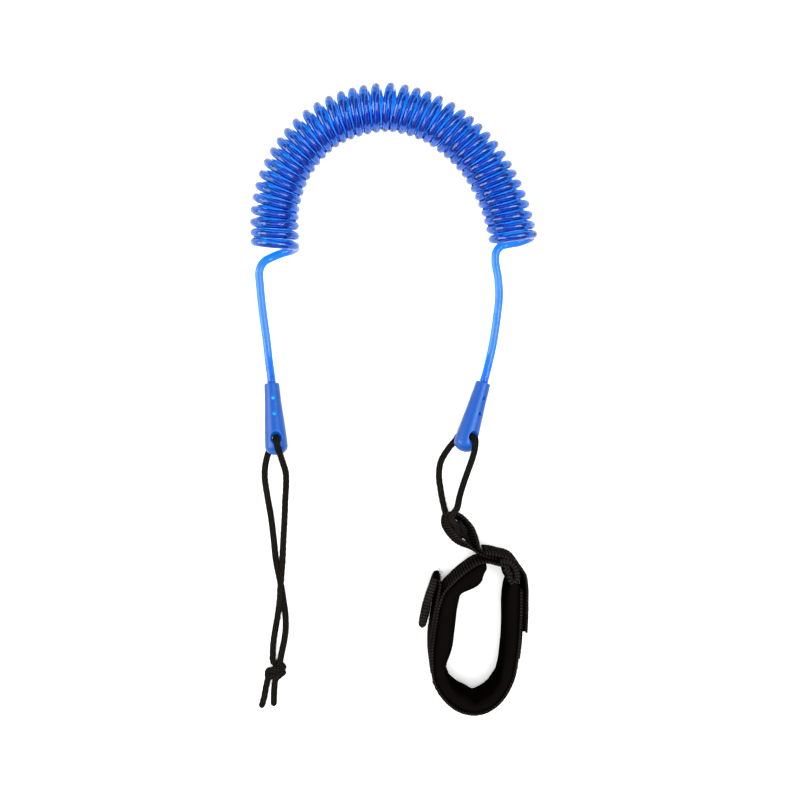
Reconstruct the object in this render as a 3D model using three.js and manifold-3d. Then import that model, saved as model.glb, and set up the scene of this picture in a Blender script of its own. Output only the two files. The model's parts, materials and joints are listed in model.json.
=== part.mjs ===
// Coiled wrist leash for a bodyboard: a coiled urethane cord between two moulded end fittings,
// a knotted string loop for the board at one end and a padded wrist cuff at the other.
// Millimetres, +Z up. The leash lies on a flat surface at z = 0, and the cuff stands on its edge.
import * as THREE from 'three';
import Module from 'manifold-3d';
import { mergeVertices } from 'three/addons/utils/BufferGeometryUtils.js';

const wasm = await Module();
wasm.setup();

// ---------------------------------------------------------------- driving dimensions
const GAP = 0.3; // clearance between pieces that touch
const FLOOR_GAP = 0.05; // how far round pieces stay above the surface

const CORD_D = 6; // urethane cord
const COIL_OD = 34; // outer diameter of the coil

const STRING_D = 4.4; // braided string of both loops

const FITTING_LENGTH = 50;
const MOUTH_WALL = 2.2; // round the cord at the fitting's narrow end
const FITTING_MOUTH_D = CORD_D + 2 * MOUTH_WALL;
const FITTING_WIDE_D = 15.7; // wide end, with the string hole
const HOLE_CLEARANCE = 0.6; // round the string in its cross hole
const FITTING_HOLE_D = STRING_D + 2 * HOLE_CLEARANCE;
const RECESS_WIDTH = 1.8; // countersink of the cross hole, wider than the hole on each side
const FITTING_RECESS_D = FITTING_HOLE_D + 2 * RECESS_WIDTH;
const FITTING_RECESS_DEPTH = 3;
const HOLE_FROM_TIP = 11.4; // cross hole to the wide end's tip
const CORD_SEAT = 27; // depth of the moulded-in cord end
const PIN_HOLE_D = 2.4; // core-pin holes that show the cord
const PIN_DEPTHS = [10.8, 21.9]; // their distances from the mouth

const KNOT_SIZE = [14.4, 13, 11]; // board string's stopper knot
const CUFF_KNOT_SIZE = [8.6, 8.6, 12]; // cuff string's knot, inside the webbing loop

const CUFF_HEIGHT = 50;
const LINING_T = 0.8;
const FOAM_T = 6.4;
const COVER_T = 0.8;
const STRAP_T = 1.6;
const PATCH_T = 0.8; // hook and pile
const LOOP_T = 1.8; // webbing of the loop
const LOOP_WIDTH = 22;
const LOOP_LENGTH = 35;
const LOOP_SPREAD = 14; // how wide the loop stands open
const TAB_T = 4.2; // pull tab, webbing folded double
const STITCH_T = 0.8;
const STITCH_W = 1.8;

// ---------------------------------------------------------------- colours
const finish = (color, roughness) => new THREE.MeshStandardMaterial({ color, roughness, metalness: 0 });
const URETHANE = finish(0x1f5fe0, 0.15);
const LEAD_URETHANE = finish(0x2aa0f0, 0.15);
const MOULDED = finish(0x3a6fd8, 0.4);
const STRING = finish(0x16130f, 0.85);
const WEBBING = finish(0x2a2522, 0.8);
const JERSEY = finish(0x141210, 0.9);
const FOAM = finish(0x1c1c1c, 0.95);
const VELCRO = finish(0x181614, 0.95);
const THREAD = finish(0x221d1a, 0.8);

// ---------------------------------------------------------------- shape helpers
const v3 = ([x, y, z]) => new THREE.Vector3(x, y, z);
const v2 = ([x, y]) => new THREE.Vector2(x, y);

function mesh(name, geometry, material) {
  const piece = new THREE.Mesh(geometry, material);
  piece.name = name;
  return piece;
}

function roundSection(radius, sides) {
  const corners = [];
  for (let i = 0; i < sides; i++) {
    const a = (i / sides) * 2 * Math.PI;
    corners.push(new THREE.Vector2(radius * Math.cos(a), radius * Math.sin(a)));
  }
  return new THREE.Shape(corners);
}

function tube(route, diameter, sides, stepsPerDiameter) {
  const path = new THREE.CatmullRomCurve3(route, false, 'centripetal');
  const steps = Math.ceil(path.getLength() / diameter / stepsPerDiameter);
  return new THREE.ExtrudeGeometry(roundSection(diameter / 2, sides), {
    steps, extrudePath: path, bevelEnabled: false,
  });
}

function toSolid(geometry) {
  const bare = geometry.clone();
  bare.deleteAttribute('normal');
  bare.deleteAttribute('uv');
  const merged = mergeVertices(bare, 1e-4);
  return new wasm.Manifold(new wasm.Mesh({
    numProp: 3,
    vertProperties: new Float32Array(merged.attributes.position.array),
    triVerts: new Uint32Array(merged.index.array),
  }));
}

function toGeometry(solid) {
  const { vertProperties, triVerts } = solid.getMesh();
  const geometry = new THREE.BufferGeometry();
  geometry.setAttribute('position', new THREE.BufferAttribute(vertProperties, 3));
  geometry.setIndex(new THREE.BufferAttribute(triVerts, 1));
  return geometry;
}

// A plan-view line that bands of fabric follow, walked with the wrist opening on its left.
class Line {
  constructor(points) {
    const route = points.map(([x, y]) => new THREE.Vector3(x, y, 0));
    this.curve = new THREE.CatmullRomCurve3(route, false, 'centripetal');
  }

  // The point a share u along the line, moved sideways by offset: towards the opening if positive.
  at(u, offset = 0) {
    const point = this.curve.getPointAt(u);
    const along = this.curve.getTangentAt(u);
    return new THREE.Vector2(point.x - along.y * offset, point.y + along.x * offset);
  }
}

function flatBand(outline, low, high) {
  const geometry = new THREE.ExtrudeGeometry(new THREE.Shape(outline), {
    depth: high - low, bevelEnabled: false, curveSegments: 8,
  });
  return geometry.translate(0, 0, low);
}

// A band of fabric standing on edge, between two offsets of a line and two shares of its length.
function band(line, [from, to], [inner, outer], [low, high], spans) {
  const near = [];
  const far = [];
  for (let i = 0; i <= spans; i++) {
    const u = from + ((to - from) * i) / spans;
    near.push(line.at(u, inner));
    far.push(line.at(u, outer));
  }
  return flatBand([...near, ...far.reverse()], low, high);
}

// ---------------------------------------------------------------- end fittings
const WIDE_R = FITTING_WIDE_D / 2;
const STRING_R = STRING_D / 2;
const MOUTH_FROM_HOLE = FITTING_LENGTH - HOLE_FROM_TIP;
const LEG_STANDOFF = WIDE_R + STRING_R + 0.5; // string's middle beside the fitting, from its axis

// A fitting's own frame has its origin where the cross hole meets the axis,
// +Z towards the mouth and +X along the hole. Its wide end lies on the string that leaves the hole.
function fittingFrame({ hole, heading, dip, roll }) {
  const h = THREE.MathUtils.degToRad(heading);
  const d = THREE.MathUtils.degToRad(dip);
  const r = THREE.MathUtils.degToRad(roll);
  const mouthward = new THREE.Vector3(Math.cos(h) * Math.cos(d), Math.sin(h) * Math.cos(d), -Math.sin(d));
  const up = new THREE.Vector3(0, 0, 1).addScaledVector(mouthward, Math.sin(d)).normalize();
  const side = mouthward.clone().cross(up);
  const holeway = up.multiplyScalar(Math.cos(r)).addScaledVector(side, Math.sin(r));
  const third = mouthward.clone().cross(holeway);
  const height = Math.max(WIDE_R, LEG_STANDOFF * Math.cos(r) + STRING_R) + FLOOR_GAP;
  return new THREE.Matrix4().makeBasis(holeway, third, mouthward).setPosition(hole[0], hole[1], height);
}

const inFrame = (frame, x, y, z) => new THREE.Vector3(x, y, z).applyMatrix4(frame);

const BOARD_FRAME = fittingFrame({ hole: [-85.7, -26.7], heading: 95.1, dip: 8, roll: 8 });
const CUFF_FRAME = fittingFrame({ hole: [46.6, -24.7], heading: 72.8, dip: 5.5, roll: 38 });

function fittingProfile() {
  const bore = CORD_D / 2 + GAP;
  const tip = -HOLE_FROM_TIP;
  const seat = MOUTH_FROM_HOLE - CORD_SEAT - GAP;
  return [
    [0, tip], [0.34 * WIDE_R, tip + 0.3], [0.67 * WIDE_R, tip + 1.2], [0.9 * WIDE_R, tip + 2.8],
    [WIDE_R, tip + 5], [WIDE_R * 0.99, 5], [FITTING_MOUTH_D / 2, MOUTH_FROM_HOLE],
    [bore, MOUTH_FROM_HOLE], [bore, seat], [0, seat],
  ];
}

const lathe = (profile, segments) => new THREE.LatheGeometry(profile.map(v2), segments);

// The cross hole with a countersink at each end, along +Y.
function crossHoleCutter() {
  const hole = FITTING_HOLE_D / 2;
  const recess = FITTING_RECESS_D / 2;
  const floor = WIDE_R - FITTING_RECESS_DEPTH;
  const beyond = WIDE_R + FITTING_RECESS_DEPTH;
  const flared = 2 * recess - hole;
  return lathe([
    [0, -beyond], [flared, -beyond], [recess, -WIDE_R], [hole, -floor],
    [hole, floor], [recess, WIDE_R], [flared, beyond], [0, beyond],
  ], 16);
}

function fittingGeometry() {
  let body = toSolid(lathe(fittingProfile(), 28).rotateX(Math.PI / 2));
  body = body.subtract(toSolid(crossHoleCutter().rotateZ(-Math.PI / 2)));
  for (const depth of PIN_DEPTHS) {
    const pin = new THREE.CylinderGeometry(PIN_HOLE_D / 2, PIN_HOLE_D / 2, 2 * FITTING_WIDE_D, 10);
    body = body.subtract(toSolid(pin.rotateZ(Math.PI / 2).translate(0, 0, MOUTH_FROM_HOLE - depth)));
  }
  return toGeometry(body);
}

// The end of the cord inside the fitting, flush with the mouth.
function cordEndGeometry() {
  const end = new THREE.CylinderGeometry(CORD_D / 2, CORD_D / 2, CORD_SEAT, 20).rotateX(Math.PI / 2);
  return end.translate(0, 0, MOUTH_FROM_HOLE - CORD_SEAT / 2);
}

function placeIn(frame, piece) {
  piece.applyMatrix4(frame);
  return piece;
}

function fittings() {
  return [
    placeIn(BOARD_FRAME, mesh('board_fitting', fittingGeometry(), MOULDED)),
    placeIn(CUFF_FRAME, mesh('cuff_fitting', fittingGeometry(), MOULDED)),
  ];
}

function cordEnds() {
  return [
    placeIn(BOARD_FRAME, mesh('board_cord_end', cordEndGeometry(), LEAD_URETHANE)),
    placeIn(CUFF_FRAME, mesh('cuff_cord_end', cordEndGeometry(), LEAD_URETHANE)),
  ];
}

// ---------------------------------------------------------------- coiled cord
const COIL_Z = COIL_OD / 2 + FLOOR_GAP;
const CORD_Z = CORD_D / 2 + FLOOR_GAP;

const COIL_AXIS = [
  [-85.9, 109.3], [-85.7, 131.5], [-79.5, 154.3], [-68.7, 172.2], [-55.6, 185.5], [-39.2, 194.8],
  [-15.3, 200.7], [-0.7, 200.3], [23.6, 192.4], [37.8, 182.7], [48.6, 172.9], [57.5, 162.1],
  [64.6, 149.9], [69.1, 140.5], [73.8, 127.1], [76.8, 114.7],
];

const BOARD_LEAD = [
  [-71.9, 105.6, 17], [-72.4, 104.6, 12], [-75.8, 103.6, 7], [-81.5, 102.4, 4], [-88.1, 100.1, CORD_Z],
  [-95.0, 96.2, CORD_Z], [-98.1, 90.0, CORD_Z], [-97.7, 80.1, CORD_Z], [-95.6, 60.1, CORD_Z],
  [-93.1, 42.0, CORD_Z + 0.2], [-91.4, 28.0, CORD_Z + 1.2],
];

const CUFF_LEAD = [
  [91.2, 113.6, 17], [90.6, 112.4, 12], [87.4, 111.2, 7.4], [82.4, 109.8, 4.2], [76.0, 108.8, CORD_Z],
  [70.6, 107.4, CORD_Z], [67.2, 103.4, CORD_Z], [66.5, 96.6, CORD_Z], [68.4, 85.1, CORD_Z],
  [69.1, 72.1, CORD_Z], [67.5, 57.1, CORD_Z], [65.1, 41.0, CORD_Z + 0.3], [62.2, 27.6, CORD_Z + 1.1],
];

function lead(name, frame, route) {
  const mouth = inFrame(frame, 0, 0, MOUTH_FROM_HOLE + GAP);
  const straight = inFrame(frame, 0, 0, MOUTH_FROM_HOLE + GAP + 3);
  return mesh(name, tube([...route.map(v3), straight, mouth], CORD_D, 10, 0.55), LEAD_URETHANE);
}

function coil() {
  const axis = COIL_AXIS.map(([x, y]) => new THREE.Vector3(x, y, COIL_Z));
  return mesh('coil', tube(axis, COIL_OD, 12, 0.2), URETHANE);
}

function cord() {
  return [coil(), lead('board_lead', BOARD_FRAME, BOARD_LEAD), lead('cuff_lead', CUFF_FRAME, CUFF_LEAD)];
}

// ---------------------------------------------------------------- string loops
const STRING_Z = STRING_R + FLOOR_GAP;
const HUMP = STRING_D + 0.55; // how far one string rises to pass over the other

// The way a string leaves a fitting's cross hole, on one side of it.
function outOfHole(frame, side) {
  const bend = LEG_STANDOFF - 1.9;
  return [
    inFrame(frame, side * GAP, 0, 0),
    inFrame(frame, side * (WIDE_R - 3.6), 0, 0),
    inFrame(frame, side * bend, 0, -1.1),
    inFrame(frame, side * LEG_STANDOFF, 0, -4.6),
  ];
}

const BOARD_FRONT = [
  [-80.2, -42.8, 20.5], [-78.9, -50.0, 12.5], [-79.2, -59.0, 6.0], [-80.1, -70.0, 3.0],
  [-80.6, -82.0, STRING_Z],
  [-81.4, -98.0, STRING_Z + 0.08 * HUMP], [-81.9, -112.0, STRING_Z + 0.39 * HUMP],
  [-82.4, -121.0, STRING_Z + 0.84 * HUMP], [-83.0, -130.0, STRING_Z + HUMP],
  [-83.6, -139.0, STRING_Z + 0.88 * HUMP], [-85.0, -149.0, STRING_Z + 0.48 * HUMP], [-86.6, -158.0, STRING_Z + 0.23 * HUMP],
  [-88.0, -167.0, STRING_Z + 0.23 * HUMP], [-88.5, -174.0, STRING_Z + 0.39 * HUMP],
];

const BOARD_BACK = [
  [-90.6, -34.6, STRING_Z], [-93.6, -43.0, STRING_Z], [-94.5, -53.0, STRING_Z], [-92.8, -66.0, STRING_Z],
  [-90.2, -81.0, STRING_Z], [-88.2, -97.0, STRING_Z], [-86.8, -111.0, STRING_Z], [-84.9, -121.0, STRING_Z],
  [-82.8, -131.0, STRING_Z], [-81.4, -140.0, STRING_Z], [-80.0, -150.0, STRING_Z],
  [-79.8, -160.0, STRING_Z + 0.3],
  [-80.6, -167.0, 3.0], [-82.0, -174.0, 4.2],
];

const KNOT_CENTRE = [-86.0, -188.4, KNOT_SIZE[2] / 2 + FLOOR_GAP];
const KNOT_REACH = KNOT_SIZE[1] / 2 + GAP; // from the knot's middle to the strings' ends
const nearKnot = (across, way, up) => (
  new THREE.Vector3(KNOT_CENTRE[0] + across, KNOT_CENTRE[1] + way * KNOT_REACH, KNOT_CENTRE[2] + up)
);
const TAIL_LEFT = [[-93.2, -200.6, 3.4], [-94.8, -207.4, STRING_Z], [-97.0, -215.8, STRING_Z]];
const TAIL_RIGHT = [[-87.9, -201.0, 3.4], [-88.0, -208.0, STRING_Z], [-88.2, -214.4, STRING_Z]];

function knot(name, size, centre, material) {
  const ball = new THREE.SphereGeometry(0.5, 16, 10).rotateX(Math.PI / 2);
  return mesh(name, ball.scale(...size).translate(...centre), material);
}

const stringTube = (name, route) => mesh(name, tube(route, STRING_D, 8, 0.9), STRING);

function boardString() {
  return [
    stringTube('board_string_front', [
      ...outOfHole(BOARD_FRAME, 1), ...BOARD_FRONT.map(v3), nearKnot(-0.52 * STRING_D, 1, -0.2),
    ]),
    stringTube('board_string_back', [
      ...outOfHole(BOARD_FRAME, -1), ...BOARD_BACK.map(v3), nearKnot(0.6 * STRING_D, 1, -0.2),
    ]),
    knot('board_string_knot', KNOT_SIZE, KNOT_CENTRE, STRING),
    stringTube('board_string_tail_left', [nearKnot(-1.36 * STRING_D, -1, -1), ...TAIL_LEFT.map(v3)]),
    stringTube('board_string_tail_right', [nearKnot(-0.22 * STRING_D, -1, -1), ...TAIL_RIGHT.map(v3)]),
  ];
}

// ---------------------------------------------------------------- webbing loop and cuff string
const LOOP_ROOT = [53.6, -104.0];
const LOOP_HEADING = 130; // degrees, from the root to the loop's far end
const LOOP_Z = CUFF_HEIGHT / 2;

// A place in the webbing loop: along it from its root, across it and up from its middle.
function inLoop(along, across, up) {
  const a = THREE.MathUtils.degToRad(LOOP_HEADING);
  const x = LOOP_ROOT[0] + along * Math.cos(a) - across * Math.sin(a);
  const y = LOOP_ROOT[1] + along * Math.sin(a) + across * Math.cos(a);
  return new THREE.Vector3(x, y, LOOP_Z + up);
}

// The loop's half width at a share of its length: narrow at the root, round at the far end.
function loopHalfWidth(share) {
  const swell = Math.sqrt(Math.max(0, 1 - ((share - 0.6) / 0.4) ** 2));
  const neck = 0.5 - 0.5 * Math.cos(Math.PI * Math.min(1, share / 0.6));
  const root = LOOP_T + 0.1;
  return share > 0.6 ? (LOOP_SPREAD / 2) * swell : root + (LOOP_SPREAD / 2 - root) * neck;
}

function loopOutline(inset, from, to, spans) {
  const left = [];
  const right = [];
  for (let i = 0; i <= spans; i++) {
    const share = from + ((to - from) * i) / spans;
    const half = Math.max(0.15, loopHalfWidth(Math.min(1, share)) - inset);
    const p = inLoop(share * LOOP_LENGTH, half, 0);
    const q = inLoop(share * LOOP_LENGTH, -half, 0);
    left.push(new THREE.Vector2(p.x, p.y));
    right.push(new THREE.Vector2(q.x, q.y));
  }
  return [...right, ...left.reverse()];
}

function webbingLoop() {
  const outline = new THREE.Shape(loopOutline(0, 0, 1, 22));
  const end = 1 - LOOP_T / LOOP_LENGTH;
  outline.holes.push(new THREE.Path(loopOutline(LOOP_T * 1.08, 0.16, end, 18)));
  const geometry = new THREE.ExtrudeGeometry(outline, { depth: LOOP_WIDTH, bevelEnabled: false });
  return mesh('webbing_loop', geometry.translate(0, 0, LOOP_Z - LOOP_WIDTH / 2), WEBBING);
}

const KNOT_ALONG = 0.52 * LOOP_LENGTH; // the hidden knot's place along the loop
const CLEAR_EDGE = LOOP_WIDTH / 2 + STRING_R + GAP; // string's middle where it passes the webbing's edge

const CUFF_OVER = [
  [50.4, -37.6, 18.4], [47.2, -46.6, 20.4], [43.4, -56.0, LOOP_Z + 1],
  [40.2, -65.0, LOOP_Z + 8.4], [38.2, -72.4, LOOP_Z + 13.4],
];
const CUFF_UNDER = [
  [33.2, -34.8, 2.5], [28.6, -43.0, 2.4], [27.2, -52.0, 2.8],
  [28.2, -62.0, LOOP_Z - 20], [29.8, -71.0, LOOP_Z - 17.2],
];

function cuffString() {
  const knotTop = CUFF_KNOT_SIZE[2] / 2;
  const over = [
    ...outOfHole(CUFF_FRAME, 1), ...CUFF_OVER.map(v3),
    inLoop(31.5, -1.2, CLEAR_EDGE + 1.6), inLoop(25.5, -0.6, CLEAR_EDGE - 0.6),
    inLoop(20.6, 0, 10.4), inLoop(18.4, 0, knotTop + GAP + 0.3),
  ];
  const under = [
    ...outOfHole(CUFF_FRAME, -1), ...CUFF_UNDER.map(v3),
    inLoop(31.5, 1.0, -CLEAR_EDGE - 1.9), inLoop(25.5, 0.6, -CLEAR_EDGE + 0.6),
    inLoop(20.6, 0, -10.4), inLoop(18.4, 0, -knotTop - GAP - 0.3),
  ];
  const middle = inLoop(KNOT_ALONG, 0, 0).toArray();
  return [
    stringTube('cuff_string_over', over),
    stringTube('cuff_string_under', under),
    knot('cuff_string_knot', CUFF_KNOT_SIZE, middle, STRING),
  ];
}

// ---------------------------------------------------------------- cuff
// The strap's middle line in plan: from the neck over the pad's outside and round to the closing flap.
const STRAP_LINE = new Line([
  [72.5, -110.9], [65.0, -109.2], [58.0, -107.7], [51.6, -108.8], [44.0, -113.6], [35.0, -121.4],
  [29.3, -127.8], [26.0, -136.5], [23.9, -147.0], [21.7, -163.0], [21.3, -175.0], [22.7, -187.0],
  [28.6, -197.6], [38.0, -205.6], [48.9, -208.4], [58.0, -206.4], [67.1, -199.5], [75.0, -185.7],
  [78.6, -166.4], [79.7, -153.3], [80.3, -138.0], [80.3, -119.5],
]);

const PAD_SPAN = [0.078, 1]; // shares of the strap line that each piece covers
const STRAP_SPAN = [0, 0.975];
const PILE_SPAN = [0.79, 0.975];
const NECK_SPAN = [0.006, 0.062];
const FULL_HEIGHT = [0, CUFF_HEIGHT];
const STRAP_HEIGHT = [0.8, CUFF_HEIGHT - 0.8];
const PATCH_HEIGHT = [4, CUFF_HEIGHT - 4];
const LOOP_HEIGHT = [LOOP_Z - LOOP_WIDTH / 2, LOOP_Z + LOOP_WIDTH / 2];

// Stacks layers from one offset outward or inward, with a gap before each.
function stack(start, way, thicknesses) {
  let edge = start;
  return thicknesses.map((t) => {
    const near = edge + way * GAP;
    edge = near + way * t;
    return [Math.min(near, edge), Math.max(near, edge)];
  });
}

const [COVER_AT, FOAM_AT, LINING_AT] = stack(STRAP_T / 2, 1, [COVER_T, FOAM_T, LINING_T]);
const [PILE_AT, HOOK_AT, FLAP_AT] = stack(-STRAP_T / 2, -1, [PATCH_T, PATCH_T, STRAP_T]);
const NECK_LAYERS = [LOOP_T, LOOP_T, STRAP_T, STITCH_T];
const [TAIL_INNER_AT, TAIL_OUTER_AT, CLOSING_AT, STITCH_AT] = stack(-STRAP_T / 2, -1, NECK_LAYERS);
const [PULL_AT] = stack(-STRAP_T / 2, -1, [STRAP_T]);
const middleOf = ([a, b]) => (a + b) / 2;
const HALF_STRAP = [-STRAP_T / 2, STRAP_T / 2];

function pad() {
  return [
    mesh('cuff_cover', band(STRAP_LINE, PAD_SPAN, COVER_AT, FULL_HEIGHT, 60), JERSEY),
    mesh('cuff_foam', band(STRAP_LINE, PAD_SPAN, FOAM_AT, FULL_HEIGHT, 60), FOAM),
    mesh('cuff_lining', band(STRAP_LINE, PAD_SPAN, LINING_AT, FULL_HEIGHT, 60), JERSEY),
    mesh('cuff_strap', band(STRAP_LINE, STRAP_SPAN, HALF_STRAP, STRAP_HEIGHT, 64), WEBBING),
    mesh('pile_patch', band(STRAP_LINE, PILE_SPAN, PILE_AT, PATCH_HEIGHT, 14), VELCRO),
  ];
}

// The flap's line runs from its free end up beside the strap and round the corner to its hinge.
const FLAP_HINGE = [79.4, -110.9];
const FLAP_SHARES = [0.862, 0.885, 0.91, 0.935, 0.957, 0.975];
const flapSide = FLAP_SHARES.map((u) => STRAP_LINE.at(u, middleOf(FLAP_AT)).toArray());
const FLAP_LINE = new Line([...flapSide, [82.9, -115.6], FLAP_HINGE]);
const CLOSING_LINE = new Line([
  FLAP_HINGE, [77.0, -107.0],
  ...[0.006, 0.025, 0.045, 0.064].map((u) => STRAP_LINE.at(u, middleOf(CLOSING_AT)).toArray()),
]);

function closure() {
  const hookAt = [STRAP_T / 2 + GAP, STRAP_T / 2 + GAP + PATCH_T];
  return [
    mesh('closing_strap', band(CLOSING_LINE, [0.09, 1], HALF_STRAP, STRAP_HEIGHT, 14), WEBBING),
    mesh('closing_flap', band(FLAP_LINE, [0, 0.985], HALF_STRAP, STRAP_HEIGHT, 22), WEBBING),
    mesh('hook_patch', band(FLAP_LINE, [0.1, 0.62], hookAt, PATCH_HEIGHT, 12), VELCRO),
    mesh('loop_tail_inner', band(STRAP_LINE, NECK_SPAN, TAIL_INNER_AT, LOOP_HEIGHT, 6), WEBBING),
    mesh('loop_tail_outer', band(STRAP_LINE, NECK_SPAN, TAIL_OUTER_AT, LOOP_HEIGHT, 6), WEBBING),
  ];
}

const TAB_HINGE = [24.3, -118.8];
const TAB_LINE = new Line([
  TAB_HINGE, [22.6, -123.6], [20.4, -130.4], [18.7, -136.6], [16.7, -146.0], [16.1, -151.0],
]);
const pullSide = [0.42, 0.38, 0.34, 0.3, 0.27].map((u) => STRAP_LINE.at(u, middleOf(PULL_AT)).toArray());
const PULL_LINE = new Line([...pullSide, [25.9, -127.6], [27.0, -121.2]]);

function tabGeometry() {
  const spans = 10;
  const near = [];
  const far = [];
  for (let i = 0; i <= spans; i++) {
    const half = TAB_T / 2;
    near.push(TAB_LINE.at(i / spans, -half));
    far.push(TAB_LINE.at(i / spans, half));
  }
  return { near, far };
}

// Half discs close the tab's two ends.
function tabOutline() {
  const { near, far } = tabGeometry();
  const cap = (centre, from) => {
    const arc = [];
    for (let i = 1; i < 8; i++) {
      const a = from + (i / 8) * Math.PI;
      arc.push(new THREE.Vector2(centre.x + (TAB_T / 2) * Math.cos(a), centre.y + (TAB_T / 2) * Math.sin(a)));
    }
    return arc;
  };
  const end = far[far.length - 1].clone().sub(near[near.length - 1]).angle();
  const root = near[0].clone().sub(far[0]).angle();
  const endCap = cap(TAB_LINE.at(1), end + Math.PI);
  const rootCap = cap(TAB_LINE.at(0), root + Math.PI);
  return [...near, ...endCap, ...far.reverse(), ...rootCap];
}

function pullTab() {
  return [
    mesh('pull_strap', band(PULL_LINE, [0, 1], HALF_STRAP, STRAP_HEIGHT, 26), WEBBING),
    mesh('pull_tab', flatBand(tabOutline(), ...STRAP_HEIGHT), WEBBING),
  ];
}

// Bars of stitching across the neck.
function neckStitches() {
  const width = STITCH_W / STRAP_LINE.curve.getLength();
  const height = [LOOP_HEIGHT[0] + 2, LOOP_HEIGHT[1] - 2];
  return [0.026, 0.045, 0.058].map((u, i) => (
    mesh(`neck_stitch_${i + 1}`, band(STRAP_LINE, [u, u + width], STITCH_AT, height, 1), THREAD)
  ));
}

// ---------------------------------------------------------------- assembly
// The origin is at the foot of the hard pieces and the cuff, in the middle of their plan.
const ownPieces = [
  ...fittings(), webbingLoop(), ...pad(), ...closure(), ...pullTab(), ...neckStitches(),
];
const cordPieces = [...cord(), ...cordEnds(), ...boardString(), ...cuffString()];

const leash = new THREE.Group();
leash.add(...ownPieces, ...cordPieces);
const footprint = new THREE.Box3();
ownPieces.forEach((piece) => footprint.expandByObject(piece, true));
const middle = footprint.getCenter(new THREE.Vector3());
leash.position.set(-middle.x, -middle.y, -footprint.min.z);
leash.updateMatrixWorld(true);

export default leash;
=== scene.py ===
"""Coiled wrist leash for a bodyboard: a coiled urethane cord between two moulded end fittings,
a knotted string loop for the board and a padded wrist cuff. Lengths are in metres."""

import json
import math
import random

import bmesh
import bpy
import numpy as np
from mathutils import Matrix, Vector


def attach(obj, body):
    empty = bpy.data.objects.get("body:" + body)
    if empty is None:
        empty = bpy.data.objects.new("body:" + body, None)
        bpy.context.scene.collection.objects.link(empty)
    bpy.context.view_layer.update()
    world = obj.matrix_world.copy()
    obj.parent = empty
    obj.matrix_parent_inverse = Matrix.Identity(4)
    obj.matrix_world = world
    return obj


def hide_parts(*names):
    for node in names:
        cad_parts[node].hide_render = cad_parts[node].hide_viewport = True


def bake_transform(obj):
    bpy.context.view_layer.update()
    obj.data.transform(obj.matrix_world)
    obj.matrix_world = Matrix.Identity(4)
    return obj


bl_info = {
    "name": "Coiled Wrist Leash",
    "version": (1, 0, 0),
    "blender": (4, 5, 0),
    "location": "View3D > Sidebar > Leash",
    "description": "Builds a coiled bodyboard wrist leash piece by piece",
    "category": "Object",
}

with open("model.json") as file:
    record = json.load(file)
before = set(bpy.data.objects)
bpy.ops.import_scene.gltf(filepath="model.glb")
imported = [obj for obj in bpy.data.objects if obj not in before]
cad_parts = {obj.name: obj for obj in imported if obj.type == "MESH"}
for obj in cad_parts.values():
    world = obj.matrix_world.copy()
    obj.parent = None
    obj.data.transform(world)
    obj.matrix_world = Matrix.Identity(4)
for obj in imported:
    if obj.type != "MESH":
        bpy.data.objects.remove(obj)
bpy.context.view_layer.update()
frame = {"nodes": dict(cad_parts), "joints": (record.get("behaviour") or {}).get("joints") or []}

MM = 0.001
GAP = 0.3 * MM  # clearance between pieces that lie on each other
FLOOR_GAP = 0.05 * MM
UPRIGHT = (0.0, 0.0, 1.0)
BOARD_HOLE = (-0.0857, -0.0267)  # the board fitting's cross hole in the layout's own plan
JOINTS = {joint["name"]: joint for joint in frame["joints"]}
HOLE_AT = Vector(JOINTS["board_string_swing"]["pos_m"])
LAYOUT = Vector((HOLE_AT.x - BOARD_HOLE[0], HOLE_AT.y - BOARD_HOLE[1], 0))


# ---------------------------------------------------------------- sizes and colours
def length(name, description, default):
    """A size that a user can change, in metres."""
    return bpy.props.FloatProperty(name=name, description=description, default=default, unit="LENGTH")


def colour(name, description, default):
    """A colour that a user can change."""
    return bpy.props.FloatVectorProperty(
        name=name, description=description, default=default, size=3, min=0, max=1, subtype="COLOR"
    )


class LeashCordSizes(bpy.types.PropertyGroup):
    diameter: length("Cord", "Diameter of the urethane cord", 0.006)
    coil_diameter: length("Coil", "Outer diameter of the coil", 0.034)
    turns: bpy.props.FloatProperty(name="Turns", description="Turns in the coil", default=38.5, min=3)
    string_diameter: length("String", "Diameter of the braided string", 0.0044)
    braid_plaits: bpy.props.IntProperty(
        name="Plaits", description="Plaits round the string each way", default=7, min=3
    )
    braid_pitch: length("Braid pitch", "Length of one plait along the string", 0.0022)


class LeashFittingSizes(bpy.types.PropertyGroup):
    length: length("Fitting", "Length of an end fitting", 0.050)
    mouth: length("Mouth", "Diameter of the narrow end", 0.0104)
    wide: length("Wide end", "Diameter of the wide end", 0.0157)
    hole: length("String hole", "Diameter of the cross hole", 0.0056)
    recess: length("Recess", "Diameter of the cross hole's countersink", 0.0092)
    recess_depth: length("Recess depth", "Depth of the countersink", 0.003)
    hole_from_tip: length("Hole from tip", "Cross hole to the wide end's tip", 0.0114)
    pin_hole: length("Pin hole", "Diameter of the core-pin holes", 0.0024)


class LeashCuffSizes(bpy.types.PropertyGroup):
    height: length("Height", "Height of the cuff", 0.050)
    strap: length("Strap", "Thickness of the strap's webbing", 0.0016)
    rib: length("Rib", "Spacing of the webbing's ribs", 0.0021)
    loop_thickness: length("Loop webbing", "Thickness of the loop's webbing", 0.0018)
    loop_width: length("Loop width", "Width of the loop's webbing", 0.022)
    loop_length: length("Loop length", "Length of the webbing loop", 0.035)
    loop_spread: length("Loop spread", "How wide the webbing loop stands open", 0.014)
    tab: length("Tab", "Thickness of the pull tab", 0.0052)
    stitch: length("Stitch", "Length of one stitch", 0.0030)


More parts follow.
